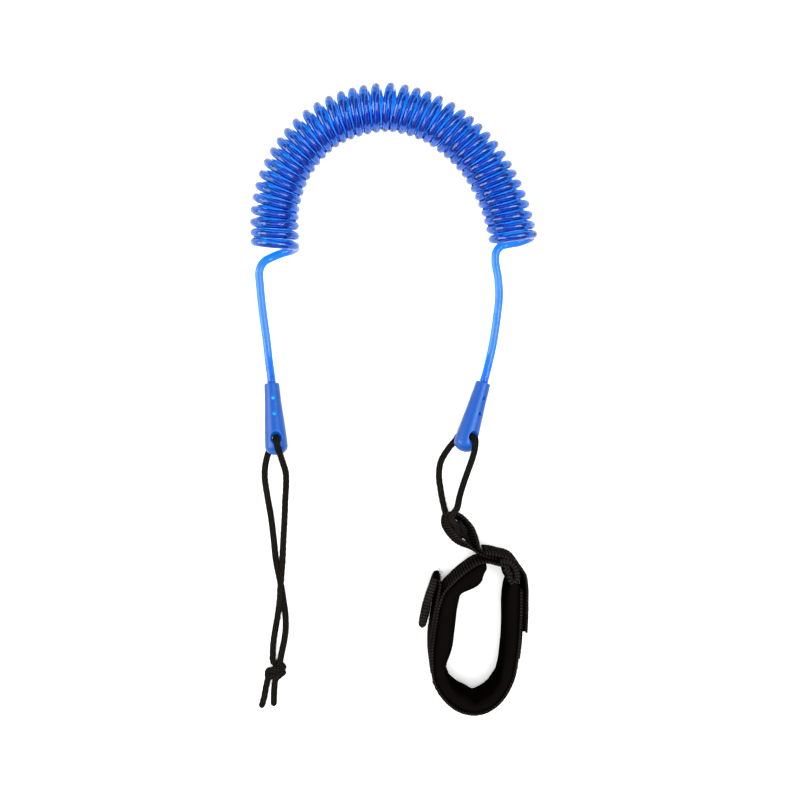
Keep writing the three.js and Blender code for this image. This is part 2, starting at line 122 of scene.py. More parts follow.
class LeashColours(bpy.types.PropertyGroup):
    urethane: colour("Urethane", "Clear blue of the cord", (0.001, 0.150, 0.46))
    moulding: colour("Moulding", "Blue of the end fittings", (0.0010, 0.056, 0.280))
    string: colour("String", "Braided string", (0.0014, 0.0012, 0.0010))
    webbing: colour("Webbing", "Ribbed webbing", (0.0013, 0.0011, 0.0010))
    jersey: colour("Jersey", "Knitted cover of the pad", (0.0018, 0.0015, 0.0013))
    thread: colour("Thread", "Sewing thread", (0.0060, 0.0052, 0.0048))
    floor: colour("Floor", "Pale floor", (0.93, 0.93, 0.93))


# ---------------------------------------------------------------- curves
def place(x, y, z=0.0):
    """A point of the layout, in the frame."""
    return LAYOUT + Vector((x, y, z))


def places(points):
    """Points of the layout, in the frame."""
    return [place(*p) for p in points]


def spline(points, step):
    """Even steps along a centripetal Catmull-Rom curve through the points, as an array."""
    p = np.array([tuple(q) for q in points], float)
    p = np.vstack([2 * p[0] - p[1], p, 2 * p[-1] - p[-2]])
    dense = []
    for a, b, c, d in zip(p, p[1:], p[2:], p[3:]):
        t = np.cumsum([0] + [max(np.linalg.norm(v) ** 0.5, 1e-6) for v in (b - a, c - b, d - c)])
        x = np.linspace(t[1], t[2], 24, endpoint=False)[:, None]
        ab = ((t[1] - x) * a + (x - t[0]) * b) / (t[1] - t[0])
        bc = ((t[2] - x) * b + (x - t[1]) * c) / (t[2] - t[1])
        cd = ((t[3] - x) * c + (x - t[2]) * d) / (t[3] - t[2])
        abc = ((t[2] - x) * ab + (x - t[0]) * bc) / (t[2] - t[0])
        bcd = ((t[3] - x) * bc + (x - t[1]) * cd) / (t[3] - t[1])
        dense.append(((t[2] - x) * abc + (x - t[1]) * bcd) / (t[2] - t[1]))
    return even(np.vstack(dense + [p[-2][None]]), step)


def run_of(points):
    """Distance along a line of points, at each point."""
    return np.concatenate([[0], np.cumsum(np.linalg.norm(np.diff(points, axis=0), axis=1))])


def sampled(at, run, points):
    """The values of a line of points at these distances along it."""
    return np.stack([np.interp(at, run, points[:, k]) for k in range(3)], axis=-1)


def even(points, step):
    """The same line in even steps."""
    run = run_of(points)
    count = max(2, round(run[-1] / step)) + 1
    return sampled(np.linspace(0, run[-1], count), run, points)


def unit(v):
    """The same directions with a length of one."""
    return v / np.maximum(np.linalg.norm(v, axis=-1, keepdims=True), 1e-12)


def leftward(along):
    """The level direction to the left of each direction."""
    return np.stack([-along[..., 1], along[..., 0], np.zeros_like(along[..., 0])], axis=-1)


def smoothstep(x):
    """A soft step from 0 to 1, level at both ends."""
    x = np.clip(x, 0, 1)
    return x * x * (3 - 2 * x)


def carried_frames(points):
    """Normals and binormals that are carried along a line without twist, the first one upright."""
    along = unit(np.gradient(points, axis=0))
    normal = np.zeros_like(points)
    n = np.array(UPRIGHT) - np.dot(UPRIGHT, along[0]) * along[0]
    if np.linalg.norm(n) < 1e-3:
        n = np.cross(along[0], (1.0, 0.0, 0.0))
    for i, t in enumerate(along):
        n = n - np.dot(n, t) * t
        n = n / np.linalg.norm(n)
        normal[i] = n
    return normal, np.cross(along, normal)


# ---------------------------------------------------------------- meshes
def loft(name, rings, run, girth, relief=None):
    """A closed mesh through rings of points, with flat ends, a UV map in metres and a relief value."""
    rows, sides = rings.shape[:2]
    i, j = np.meshgrid(np.arange(rows - 1), np.arange(sides), indexing="ij")
    k = (j + 1) % sides
    quads = np.stack([i * sides + j, i * sides + k, (i + 1) * sides + k, (i + 1) * sides + j], axis=-1)
    quads = quads.reshape(-1, 4)
    ends = [list(range(sides))[::-1], list(range((rows - 1) * sides, rows * sides))]
    mesh = bpy.data.meshes.new(name)
    mesh.from_pydata(rings.reshape(-1, 3), [], quads.tolist() + ends)
    u = np.stack([j, j + 1, j + 1, j], axis=-1) / sides * girth
    v = np.stack([run[i], run[i], run[i + 1], run[i + 1]], axis=-1)
    uv = np.stack([u, v], axis=-1).reshape(-1, 2)
    uv = np.vstack([uv, np.zeros((2 * sides, 2))])
    mesh.uv_layers.new(name="metres").data.foreach_set("uv", uv.ravel())
    if relief is not None:
        store = mesh.attributes.new("relief", "FLOAT", "POINT")
        store.data.foreach_set("value", np.ascontiguousarray(relief, np.float32).ravel())
    return finished(name, mesh)


def finished(name, mesh):
    """Links a mesh as an object, facing out and smooth."""
    tool = bmesh.new()
    tool.from_mesh(mesh)
    if tool.calc_volume(signed=True) < 0:
        bmesh.ops.reverse_faces(tool, faces=tool.faces)
    tool.to_mesh(mesh)
    tool.free()
    mesh.shade_smooth()
    obj = bpy.data.objects.new(name, mesh)
    bpy.context.scene.collection.objects.link(obj)
    return obj


def applied(obj):
    """Bakes an object's modifiers into its mesh."""
    bpy.context.view_layer.update()
    graph = bpy.context.evaluated_depsgraph_get()
    mesh = bpy.data.meshes.new_from_object(obj.evaluated_get(graph), depsgraph=graph)
    old = obj.data
    obj.modifiers.clear()
    obj.data = mesh
    bpy.data.meshes.remove(old)
    mesh.shade_smooth()
    return obj


def tube(name, centres, radius, sides, surface=None, domes=(1, 1)):
    """A round tube with domed ends along a line of centres. surface(run, angle) gives its relief."""
    run = run_of(centres)
    normal, side = carried_frames(centres)
    angle = np.arange(sides) / sides * 2 * math.pi
    relief = np.zeros((len(run), sides)) if surface is None else surface(run[:, None], angle[None, :])
    size = np.full(len(run), 1.0)
    for dome, distance in zip(domes, (run, run[-1] - run)):
        near = np.clip(1 - distance / (radius * dome), 0, 1)
        size = np.minimum(size, np.sqrt(1 - near * near * 0.97))
    r = (radius + relief) * size[:, None]
    rings = centres[:, None] + r[..., None] * (
        np.cos(angle)[None, :, None] * normal[:, None] + np.sin(angle)[None, :, None] * side[:, None]
    )
    return loft(name, rings, run, 2 * math.pi * radius, relief)


def joined(name, pieces):
    """Several objects as one."""
    with bpy.context.temp_override(
        active_object=pieces[0], object=pieces[0], selected_editable_objects=pieces, selected_objects=pieces
    ):
        bpy.ops.object.join()
    pieces[0].name = name
    pieces[0].data.name = name
    return pieces[0]


# ---------------------------------------------------------------- shader groups
def shader_group(name, inputs, outputs):
    """An empty shader node group with named inputs (kind, default) and outputs (kind)."""
    group = bpy.data.node_groups.new(name, "ShaderNodeTree")
    for label, (kind, default) in inputs.items():
        socket = group.interface.new_socket(name=label, in_out="INPUT", socket_type="NodeSocket" + kind)
        socket.default_value = default
    for label, kind in outputs.items():
        group.interface.new_socket(name=label, in_out="OUTPUT", socket_type="NodeSocket" + kind)
    start = group.nodes.new("NodeGroupInput")
    end = group.nodes.new("NodeGroupOutput")
    return group, start.outputs, end.inputs


def add(tree, kind, values=None, **settings):
    """A new node. values fill its sockets: a socket is linked and anything else is set."""
    node = tree.nodes.new("ShaderNode" + kind)
    for key, value in settings.items():
        setattr(node, key, value)
    for key, value in (values or {}).items():
        if isinstance(value, bpy.types.NodeSocket):
            tree.links.new(value, node.inputs[key])
        else:
            node.inputs[key].default_value = value
    return node


def maths(tree, operation, a, b=0.0, c=0.0):
    """The value of a new Math node."""
    return add(tree, "Math", {0: a, 1: b, 2: c}, operation=operation).outputs[0]


def mixed(tree, share, a, b):
    """A colour between two, by a share."""
    node = add(tree, "Mix", data_type="RGBA")
    sockets = {socket.identifier: socket for socket in node.inputs}
    for key, value in (("Factor_Float", share), ("A_Color", a), ("B_Color", b)):
        if isinstance(value, bpy.types.NodeSocket):
            tree.links.new(value, sockets[key])
        else:
            sockets[key].default_value = (*value, 1)
    return next(s for s in node.outputs if s.identifier == "Result_Color")


def fibre_group():
    """Fine fibres and slight patches of wear on a cloth."""
    group, given, made = shader_group(
        "Cloth fibres",
        {"Fibre scale": ("Float", 2600.0), "Patch scale": ("Float", 90.0)},
        {"Fibres": "Float", "Patches": "Float"},
    )
    where = add(group, "TexCoord").outputs["Object"]
    fine = add(group, "TexNoise", {"Vector": where, "Scale": given["Fibre scale"], "Detail": 3.0})
    broad = add(group, "TexNoise", {"Vector": where, "Scale": given["Patch scale"], "Detail": 2.0})
    group.links.new(fine.outputs[0], made["Fibres"])
    group.links.new(broad.outputs[0], made["Patches"])
    return group


def weave_group():
    """Interlaced yarns over a UV map in metres."""
    group, given, made = shader_group(
        "Woven yarns",
        {"Across": ("Float", 0.0012), "Along": ("Float", 0.0007)},
        {"Height": "Float"},
    )
    uv = add(group, "SeparateXYZ", {0: add(group, "UVMap", uv_map="metres").outputs[0]}).outputs
    u = maths(group, "DIVIDE", uv["X"], given["Across"])
    v = maths(group, "DIVIDE", uv["Y"], given["Along"])
    shift = maths(group, "MULTIPLY", maths(group, "FLOOR", u), 0.5)
    down = maths(group, "MULTIPLY", maths(group, "ADD", v, shift), 2 * math.pi)
    over = maths(group, "SINE", maths(group, "MULTIPLY", u, math.pi))
    yarn = maths(group, "ABSOLUTE", over)
    ripple = maths(group, "MULTIPLY_ADD", maths(group, "SINE", down), 0.5, 0.5)
    group.links.new(maths(group, "MULTIPLY", yarn, ripple), made["Height"])
    return group


def dust_group():
    """Lint and dust that settle on a piece."""
    group, given, made = shader_group(
        "Dust and lint", {"Scale": ("Float", 900.0), "Amount": ("Float", 0.3)}, {"Mask": "Float"}
    )
    where = add(group, "TexCoord").outputs["Object"]
    specks = add(group, "TexVoronoi", {"Vector": where, "Scale": given["Scale"]}).outputs["Distance"]
    small = maths(group, "LESS_THAN", specks, 0.07)
    patch = add(group, "TexNoise", {"Vector": where, "Scale": 60.0, "Detail": 2.0}).outputs[0]
    sparse = maths(group, "GREATER_THAN", patch, 0.55)
    mask = maths(group, "MULTIPLY", maths(group, "MULTIPLY", small, sparse), given["Amount"])
    group.links.new(mask, made["Mask"])
    return group


def smudge_group():
    """Handling marks and flow marks on a smooth plastic."""
    group, given, made = shader_group(
        "Smudges",
        {"Low": ("Float", 0.05), "High": ("Float", 0.15), "Scale": ("Float", 70.0)},
        {"Roughness": "Float", "Flow": "Float"},
    )
    where = add(group, "TexCoord").outputs["Object"]
    cloud = add(group, "TexNoise", {"Vector": where, "Scale": given["Scale"], "Detail": 4.0}).outputs[0]
    span = maths(group, "SUBTRACT", given["High"], given["Low"])
    rough = maths(group, "ADD", given["Low"], maths(group, "MULTIPLY", cloud, span))
    group.links.new(rough, made["Roughness"])
    group.links.new(cloud, made["Flow"])
    return group


GROUPS = {"fibres": fibre_group, "weave": weave_group, "dust": dust_group, "smudges": smudge_group}
EFFECTS = {}
LINT = (0.05, 0.044, 0.04)  # colour of the lint on a cloth


def effect(tree, name, values=None):
    """A shared shader group placed in a material, built when it is first asked for."""
    if name not in EFFECTS:
        EFFECTS[name] = GROUPS[name]()
    node = tree.nodes.new("ShaderNodeGroup")
    node.node_tree = EFFECTS[name]
    for key, value in (values or {}).items():
        node.inputs[key].default_value = value
    return node.outputs


# ---------------------------------------------------------------- materials
def blank(name, **sockets):
    """A new material with these plain values on its shader, and its node tree and shader."""
    material = bpy.data.materials.new(name)
    material.use_nodes = True
    shader = material.node_tree.nodes["Principled BSDF"]
    for key, value in sockets.items():
        shader.inputs[key.replace("_", " ")].default_value = value
    return material, material.node_tree, shader


def bump(tree, shader, height, strength, distance):
    """Raise a shader's surface by a height."""
    node = add(tree, "Bump", {"Strength": strength, "Distance": distance, "Height": height})
    tree.links.new(node.outputs[0], shader.inputs["Normal"])


def urethane(name, tint):
    """Clear urethane, with painted shade: a darker blue painted where more of it lies in the line of sight.
    """
    material, tree, shader = blank(name, Transmission_Weight=1.0, IOR=1.34, Specular_IOR_Level=0.5)
    smudges = effect(tree, "smudges", {"Low": 0.04, "High": 0.10, "Scale": 160.0})
    tree.links.new(smudges["Roughness"], shader.inputs["Roughness"])
    clouded = mixed(tree, smudges["Flow"], tint, [c * c ** 0.15 for c in tint])
    # painted shade: the turns' upright sides are painted a darker blue, standing in for the light's longer
    # path through the cord
    through = add(tree, "Attribute", attribute_name="through").outputs["Fac"]
    painted_sight_shade = (0.010, 0.24 * tint[1], 0.55 * tint[2])
    tree.links.new(mixed(tree, through, clouded, painted_sight_shade), shader.inputs["Base Color"])
    bump(tree, shader, smudges["Flow"], 0.08, 0.3 * MM)
    return material


def lit_urethane(name, tint):
    """The cord's end inside a fitting, with a painted glow that stands in for light reaching it through the
    moulding round it.
    """
    pale = (0.006, 2.6 * tint[1], 1.4 * tint[2])
    # painted glow: the end emits a pale blue light of its own, though it is no lamp
    material, tree, shader = blank(name, Roughness=0.3, Emission_Color=(*pale, 1), Emission_Strength=0.8)
    smudges = effect(tree, "smudges", {"Scale": 300.0})
    tree.links.new(mixed(tree, smudges["Flow"], pale, tint), shader.inputs["Base Color"])
    return material


def moulded(name, tint):
    """Moulded plastic, paler on its sharpest edges."""
    material, tree, shader = blank(name, Specular_IOR_Level=0.2)
    smudges = effect(tree, "smudges", {"Low": 0.30, "High": 0.46, "Scale": 120.0})
    tree.links.new(smudges["Roughness"], shader.inputs["Roughness"])
    edge = add(tree, "NewGeometry").outputs["Pointiness"]
    # paler on the sharpest edges, found by pointiness
    edge_share = add(tree, "MapRange", {"Value": edge, "From Min": 0.50, "From Max": 0.56}).outputs[0]
    pale = [min(1, c * 1.4 + 0.01) for c in tint]
    body = mixed(tree, smudges["Flow"], tint, [c * 0.85 for c in tint])
    tree.links.new(mixed(tree, edge_share, body, pale), shader.inputs["Base Color"])
    grain = effect(tree, "fibres", {"Fibre scale": 1400.0, "Patch scale": 200.0})
    bump(tree, shader, grain["Fibres"], 0.12, 0.2 * MM)
    return material


def cloth(name, tint, lift, weave=None, strength=0.5, relief=None):
    """A cloth whose high yarns and ribs are painted paler as a painted highlight, with painted shade in the
    valleys between them, more so in random patches.

    weave is its yarns' spacing across and along, or else relief is the range of its mesh relief."""
    material, tree, shader = blank(name, Specular_IOR_Level=0.0)
    fibres = effect(tree, "fibres")
    if weave:
        height = effect(tree, "weave", {"Across": weave[0], "Along": weave[1]})["Height"]
        painted_ridge_share = height
    else:
        store = add(tree, "Attribute", attribute_name="relief").outputs["Fac"]
        span = {"Value": store, "From Min": relief[0], "From Max": relief[1]}
        height = add(tree, "MapRange", span).outputs[0]
        painted_ridge_share = maths(tree, "POWER", height, 2.2)
    # painted highlight on the raised yarns and ribs and painted shade in their valleys, stronger in random
    # patches
    share = maths(tree, "MULTIPLY", painted_ridge_share, maths(tree, "MULTIPLY_ADD", fibres["Patches"], 0.9, 0.35))
    yarns = mixed(tree, share, tint, [min(1, c * lift) for c in tint])
    lint = effect(tree, "dust", {"Scale": 1300.0, "Amount": 0.22})["Mask"]
    tree.links.new(mixed(tree, lint, yarns, LINT), shader.inputs["Base Color"])
    rough = maths(tree, "MULTIPLY_ADD", fibres["Fibres"], 0.25, 0.62)
    tree.links.new(rough, shader.inputs["Roughness"])
    surface = maths(tree, "ADD", height, maths(tree, "MULTIPLY", fibres["Fibres"], 0.6))
    bump(tree, shader, surface, strength, 0.25 * MM)
    return material


def painted_floor(name, tint):
    """A matt floor with hardly any cloud in its tone."""
    material, tree, shader = blank(name, Roughness=0.9, Specular_IOR_Level=0.1)
    cloud = effect(tree, "smudges", {"Scale": 3.0})["Flow"]
    tree.links.new(mixed(tree, cloud, tint, [c * 0.99 for c in tint]), shader.inputs["Base Color"])
    return material


RIB_RELIEF = 0.12 * MM  # how far the webbing's ribs stand up and sink
FINISHES = {  # each finish's maker, its colour among the leash's colours, and its settings
    "clear_urethane": (urethane, "urethane", {}),
    "lit_urethane": (lit_urethane, "urethane", {}),
    "moulded_blue": (moulded, "moulding", {}),
    "braid": (cloth, "string", {"lift": 14.0, "relief": (-0.2 * MM, 0.1 * MM)}),
    "ribbed_webbing": (cloth, "webbing", {"lift": 15.0, "relief": (-RIB_RELIEF, RIB_RELIEF)}),
    "knit": (cloth, "jersey", {"lift": 2.2, "weave": (0.0007, 0.0009), "strength": 0.35}),
    "loop_pile": (cloth, "jersey", {"lift": 4.0, "weave": (0.0008, 0.0008), "strength": 0.9}),
    "sewing_thread": (cloth, "thread", {"lift": 3.0, "weave": (0.0004, 0.0004)}),
    "pale_floor": (painted_floor, "floor", {}),
}
MATERIALS = {}


def finish_material(name):
    """A named finish of the leash, made when it is first asked for."""
    if name not in MATERIALS:
        maker, tint, settings = FINISHES[name]
        MATERIALS[name] = maker(name, tuple(getattr(bpy.context.scene.leash_colours, tint)), **settings)
    return MATERIALS[name]


def finish_with(obj, name):
    """Give a piece one finish, and its slot in the part's own materials."""
    obj.data.materials.clear()
    obj.data.materials.append(finish_material(name))


# ---------------------------------------------------------------- end fittings
FITTINGS = {  # each fitting's cross hole in the layout, and its heading, dip and roll in degrees
    "board": (BOARD_HOLE, 95.1, 8, 8),
    "cuff": ((0.0466, -0.0247), 72.8, 5.5, 38),
}
NOSE = 6.2 * MM  # length of a fitting's round tip
LIP = 0.7 * MM  # radius of the lip at its mouth
BORE_DEPTH = 27.3 * MM
BORE_GAP = 0.15 * MM  # between the cord and its bore
BORE_EDGE = 0.3 * MM  # the bore's chamfer at the mouth
MOULD_DETAIL = 0.32 * MM
LEG_GAP = 0.5 * MM  # between a fitting and the string beside it
PIN_DEPTHS = (10.8 * MM, 21.9 * MM)  # the core-pin holes, from the mouth


def fitting_frame(side):
    """A fitting's own axes: its origin is in the cross hole, +Z leads to the mouth, +X along the hole."""
    hole, *turns = FITTINGS[side]
    heading, dip, roll = (math.radians(a) for a in turns)
    level = math.cos(dip)
    mouthward = Vector((math.cos(heading) * level, math.sin(heading) * level, -math.sin(dip)))
    up = (Vector(UPRIGHT) + mouthward * math.sin(dip)).normalized()
    holeway = up * math.cos(roll) + mouthward.cross(up) * math.sin(roll)
    third = mouthward.cross(holeway)
    wide, thread = bpy.context.scene.leash_fitting.wide / 2, bpy.context.scene.leash_cord.string_diameter / 2
    height = max(wide, leg_standoff() * math.cos(roll) + thread) + FLOOR_GAP
    at = place(*hole, height)
    return Matrix([(*row, at[k]) for k, row in enumerate(zip(holeway, third, mouthward))] + [(0, 0, 0, 1)])


def leg_standoff():
    """From a fitting's axis to the middle of the string beside it."""
    scene = bpy.context.scene
    return scene.leash_fitting.wide / 2 + scene.leash_cord.string_diameter / 2 + LEG_GAP


def mouth_depth():
    """From a fitting's cross hole to its mouth."""
    sizes = bpy.context.scene.leash_fitting
    return sizes.length - sizes.hole_from_tip


def turned(name, profile, sides=72):
    """A solid turned about Z from (radius, height) points."""
    tool = bmesh.new()
    rings = []
    for r, z in profile:
        if r < 1e-7:
            rings.append([tool.verts.new((0, 0, z))])
            continue
        angles = [2 * math.pi * k / sides for k in range(sides)]
        rings.append([tool.verts.new((r * math.cos(a), r * math.sin(a), z)) for a in angles])
    for low, high in zip(rings, rings[1:]):
        for k in range(sides):
            corners = [low[k % len(low)], low[(k + 1) % len(low)]]
            corners += [high[(k + 1) % len(high)], high[k % len(high)]]
            tool.faces.new(list(dict.fromkeys(corners)))
    bmesh.ops.recalc_face_normals(tool, faces=tool.faces)
    mesh = bpy.data.meshes.new(name)
    tool.to_mesh(mesh)
    tool.free()
    return finished(name, mesh)


def fitting_profile(sizes, cord_radius):
    """The moulding's outline: round tip, slight taper, a soft lip at the mouth and the cord's bore."""
    wide, mouth, top, tip = sizes.wide / 2, sizes.mouth / 2, mouth_depth(), -sizes.hole_from_tip
    bore = cord_radius + BORE_GAP
    outline = []
    for k in range(13):
        a = k / 12 * math.pi / 2
        outline.append((wide * math.sin(a) ** 0.9, tip + NOSE * (1 - math.cos(a)) ** 0.95))
    for k in range(1, 25):
        s = k / 24
        taper = 0.55 * s + 0.45 * smoothstep(np.array(s / 0.9)).item()
        outline.append((wide + (mouth - wide) * taper, tip + NOSE + (top - tip - NOSE - LIP) * s))
    for k in range(1, 7):
        a = k / 6 * math.pi / 2
        outline.append((mouth - LIP + LIP * math.cos(a), top - LIP + LIP * math.sin(a)))
    outline += [(bore + BORE_EDGE, top), (bore, top - BORE_EDGE)]
    outline += [(bore, top - BORE_DEPTH), (0, top - BORE_DEPTH)]
    outline[0] = (0, tip)
    return outline


def cross_hole(sizes):
    """The cutter of the string's hole, with a dished recess at each end, along Z."""
    hole, recess, floor = sizes.hole / 2, sizes.recess / 2, sizes.wide / 2 - sizes.recess_depth
    reach = sizes.wide / 2 + sizes.recess_depth
    half = [(hole, floor)]
    for k in range(1, 7):
        s = k / 6
        half.append((hole + (recess - hole) * s ** 0.7, floor + sizes.recess_depth * s))
    half.append((2 * recess - hole, reach))
    profile = [(0, -reach)] + [(r, -z) for r, z in reversed(half)] + half + [(0, reach)]
    return turned("hole_cutter", profile, 40)


def cut(obj, cutters):
    """Cut solids out of a piece, and drop them."""
    for cutter in cutters:
        knife = obj.modifiers.new("cut", "BOOLEAN")
        knife.operation = "DIFFERENCE"
        knife.solver = "EXACT"
        knife.object = cutter
    applied(obj)
    for cutter in cutters:
        bpy.data.meshes.remove(cutter.data)


class LEASH_OT_end_fittings(bpy.types.Operator):
    """Mould the two end fittings, with the string's cross hole and the core-pin holes"""

    bl_idname = "leash.end_fittings"
    bl_label = "End fittings"

    def execute(self, context):
        sizes = context.scene.leash_fitting
        crossways = Matrix.Rotation(math.pi / 2, 4, "Y")
        for side in FITTINGS:
            where = fitting_frame(side)
            profile = fitting_profile(sizes, context.scene.leash_cord.diameter / 2)
            body = turned(side + "_end_moulding", profile)
            hole = cross_hole(sizes)
            hole.data.transform(crossways)
            cutters = [hole]
            for depth in PIN_DEPTHS:
                r, reach = sizes.pin_hole / 2, sizes.wide
                pin = turned("pin_cutter", [(0, -reach), (r, -reach), (r, reach), (0, reach)], 24)
                pin.data.transform(Matrix.Translation((0, 0, mouth_depth() - depth)) @ crossways)
                cutters.append(pin)
            cut(body, cutters)
            fine = body.modifiers.new("even", "REMESH")
            fine.mode = "VOXEL"
            fine.voxel_size = MOULD_DETAIL
            soft = body.modifiers.new("soft", "SMOOTH")
            soft.iterations = 5
            soft.factor = 0.5
            applied(body)
            body.data.transform(where)
            finish_with(body, "moulded_blue")
            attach(body, side + "_side")
            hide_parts(side + "_fitting")
            finish_with(frame["nodes"][side + "_cord_end"], "lit_urethane")
        return {"FINISHED"}


# ---------------------------------------------------------------- coiled cord
COIL_AXIS = [  # the coil's middle line in the layout
    (-0.0859, 0.1093), (-0.0857, 0.1315), (-0.0795, 0.1543), (-0.0687, 0.1722), (-0.0556, 0.1855),
    (-0.0392, 0.1948), (-0.0153, 0.2007), (-0.0007, 0.2003), (0.0236, 0.1924), (0.0378, 0.1827),
    (0.0486, 0.1729), (0.0575, 0.1621), (0.0646, 0.1499), (0.0691, 0.1405), (0.0738, 0.1271),
    (0.0768, 0.1147),
]
LEAD_Z = 0.00305  # height of a lead that lies on the floor
LEAD_STEP = 0.9 * MM
LEAD_MOUTH = (-0.2 * MM, 3.3 * MM)  # where it is straight, from the fitting's mouth
BOARD_LEAD = [  # from the coil's end to the fitting's mouth, as CUFF_LEAD
    (-0.0724, 0.1046, 0.0120), (-0.0758, 0.1036, 0.0070), (-0.0815, 0.1024, 0.0040),
    (-0.0881, 0.1001, LEAD_Z), (-0.0950, 0.0962, LEAD_Z), (-0.0981, 0.0900, LEAD_Z),
    (-0.0977, 0.0801, LEAD_Z), (-0.0956, 0.0601, LEAD_Z), (-0.0931, 0.0420, 0.00325),
    (-0.0914, 0.0280, 0.00425),
]
CUFF_LEAD = [
    (0.0906, 0.1124, 0.0120), (0.0874, 0.1112, 0.0074), (0.0824, 0.1098, 0.0042), (0.0760, 0.1088, LEAD_Z),
    (0.0706, 0.1074, LEAD_Z), (0.0672, 0.1034, LEAD_Z), (0.0665, 0.0966, LEAD_Z), (0.0684, 0.0851, LEAD_Z),
    (0.0691, 0.0721, LEAD_Z), (0.0675, 0.0571, LEAD_Z), (0.0651, 0.0410, 0.00335), (0.0622, 0.0276, 0.00415),
]
AXIS_STEP = 0.5 * MM
STEPS_PER_TURN = 36
RUN_OUT = (0.0037, 0.0045)  # how far the last turns at each end stand past the coil's own length
LEAST_BEND = 8.0  # curvature of the coil's axis near its two ends, in 1/m
EASE = 20  # steps of the axis that its curvature is evened over, to each side
TURN_LEAN = 1.1  # how far the turns lean over along the coil, for each metre from the layout's middle


def coil_rise(sizes):
    """A turn's radius, and the height of the coil's axis."""
    return (sizes.coil_diameter - sizes.diameter) / 2, sizes.coil_diameter / 2 + FLOOR_GAP


def coil_turns(sizes):
    """The coil's helix: its inner sides touch all along the arch, so it fans open outside."""
    axis = spline([(x, y, 0) for x, y in COIL_AXIS], AXIS_STEP)
    axis[0] -= unit(axis[1] - axis[0]) * RUN_OUT[0]
    axis[-1] += unit(axis[-1] - axis[-2]) * RUN_OUT[1]
    axis = even(axis, AXIS_STEP)
    run = run_of(axis)
    along = unit(np.gradient(axis, axis=0))
    heading = np.unwrap(np.arctan2(along[:, 1], along[:, 0]))
    curvature = np.pad(-np.gradient(heading, run), EASE, mode="edge")
    curvature = np.convolve(curvature, np.ones(2 * EASE + 1) / (2 * EASE + 1), mode="valid")
    radius, height = coil_rise(sizes)
    rate = 1 - radius * np.maximum(curvature, LEAST_BEND)
    phase = np.concatenate([[0], np.cumsum((rate[1:] + rate[:-1]) / 2 * np.diff(run))])
    share = np.linspace(0, sizes.turns, round(sizes.turns * STEPS_PER_TURN) + 1)
    at = np.interp(share * (phase[-1] / sizes.turns), phase, run)
    centre, way = sampled(at, run, axis), unit(sampled(at, run, along))
    out = unit(sampled(at, run, leftward(along)))
    angle = math.pi - 2 * math.pi * share
    turns = centre + radius * np.cos(angle)[:, None] * out
    lean = TURN_LEAN * (centre * way).sum(axis=1) * radius * np.sin(angle)
    turns -= lean[:, None] * way
    turns[:, 2] = height + radius * np.sin(angle)
    return turns + np.array(LAYOUT)


class LEASH_OT_coiled_cord(bpy.types.Operator):
    """Wind the urethane cord, from one fitting through its coil to the other"""

    bl_idname = "leash.coiled_cord"
    bl_label = "Coiled cord"

    def execute(self, context):
        sizes = context.scene.leash_cord
        turns = coil_turns(sizes)
        first, last = turns[0], turns[-1]
        board = spline(self.lead("board", BOARD_LEAD) + [Vector(first), Vector(turns[3])], LEAD_STEP)
        cuff = spline([Vector(turns[-4]), Vector(last)] + self.lead("cuff", CUFF_LEAD)[::-1], LEAD_STEP)
        path = np.vstack([board[:nearest(board, first)], turns, cuff[nearest(cuff, last) + 1:]])
        cord = tube("coiled_cord", path, sizes.diameter / 2, 18, domes=(0.1, 0.1))
        finish_with(cord, "clear_urethane")
        self.paint_upright_shade(cord.data, sizes)
        cord.visible_shadow = False  # light passes through the clear cord
        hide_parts("coil", "board_lead", "cuff_lead")
        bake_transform(cord)
        return {"FINISHED"}

    def lead(self, side, points):
        """A lead's way from inside its fitting's mouth to the coil."""
        where = fitting_frame(side)
        return [where @ Vector((0, 0, mouth_depth() + z)) for z in LEAD_MOUTH] + places(points)[::-1]

    def paint_upright_shade(self, mesh, sizes):
        """Where a turn stands upright the eye looks through more of the cord, so painted shade makes it a
        darker blue there.
        """
        radius, middle = coil_rise(sizes)
        height = np.empty(3 * len(mesh.vertices))
        mesh.vertices.foreach_get("co", height)
        # the share of painted shade: 1 at a turn's upright sides, 0 at its top and bottom
        upright = np.clip(1 - ((height[2::3] - middle) / radius) ** 2, 0, 1)
        mesh.attributes.new("through", "FLOAT", "POINT").data.foreach_set("value", upright)


def nearest(points, target):
    """Which of the points is nearest to a target."""
    return int(np.argmin(np.linalg.norm(points - np.array(target), axis=1)))


# ---------------------------------------------------------------- strings
def out_of_hole(where, side):
    """The way a string leaves a cross hole, from the hole's middle."""
    wide, stand = bpy.context.scene.leash_fitting.wide / 2, leg_standoff()
    local = [(0, 0), (wide - 3.6 * MM, 0), (stand - 1.9 * MM, -1.1 * MM), (stand, -4.6 * MM)]
    return [where @ Vector((side * x, 0, z)) for x, z in local]


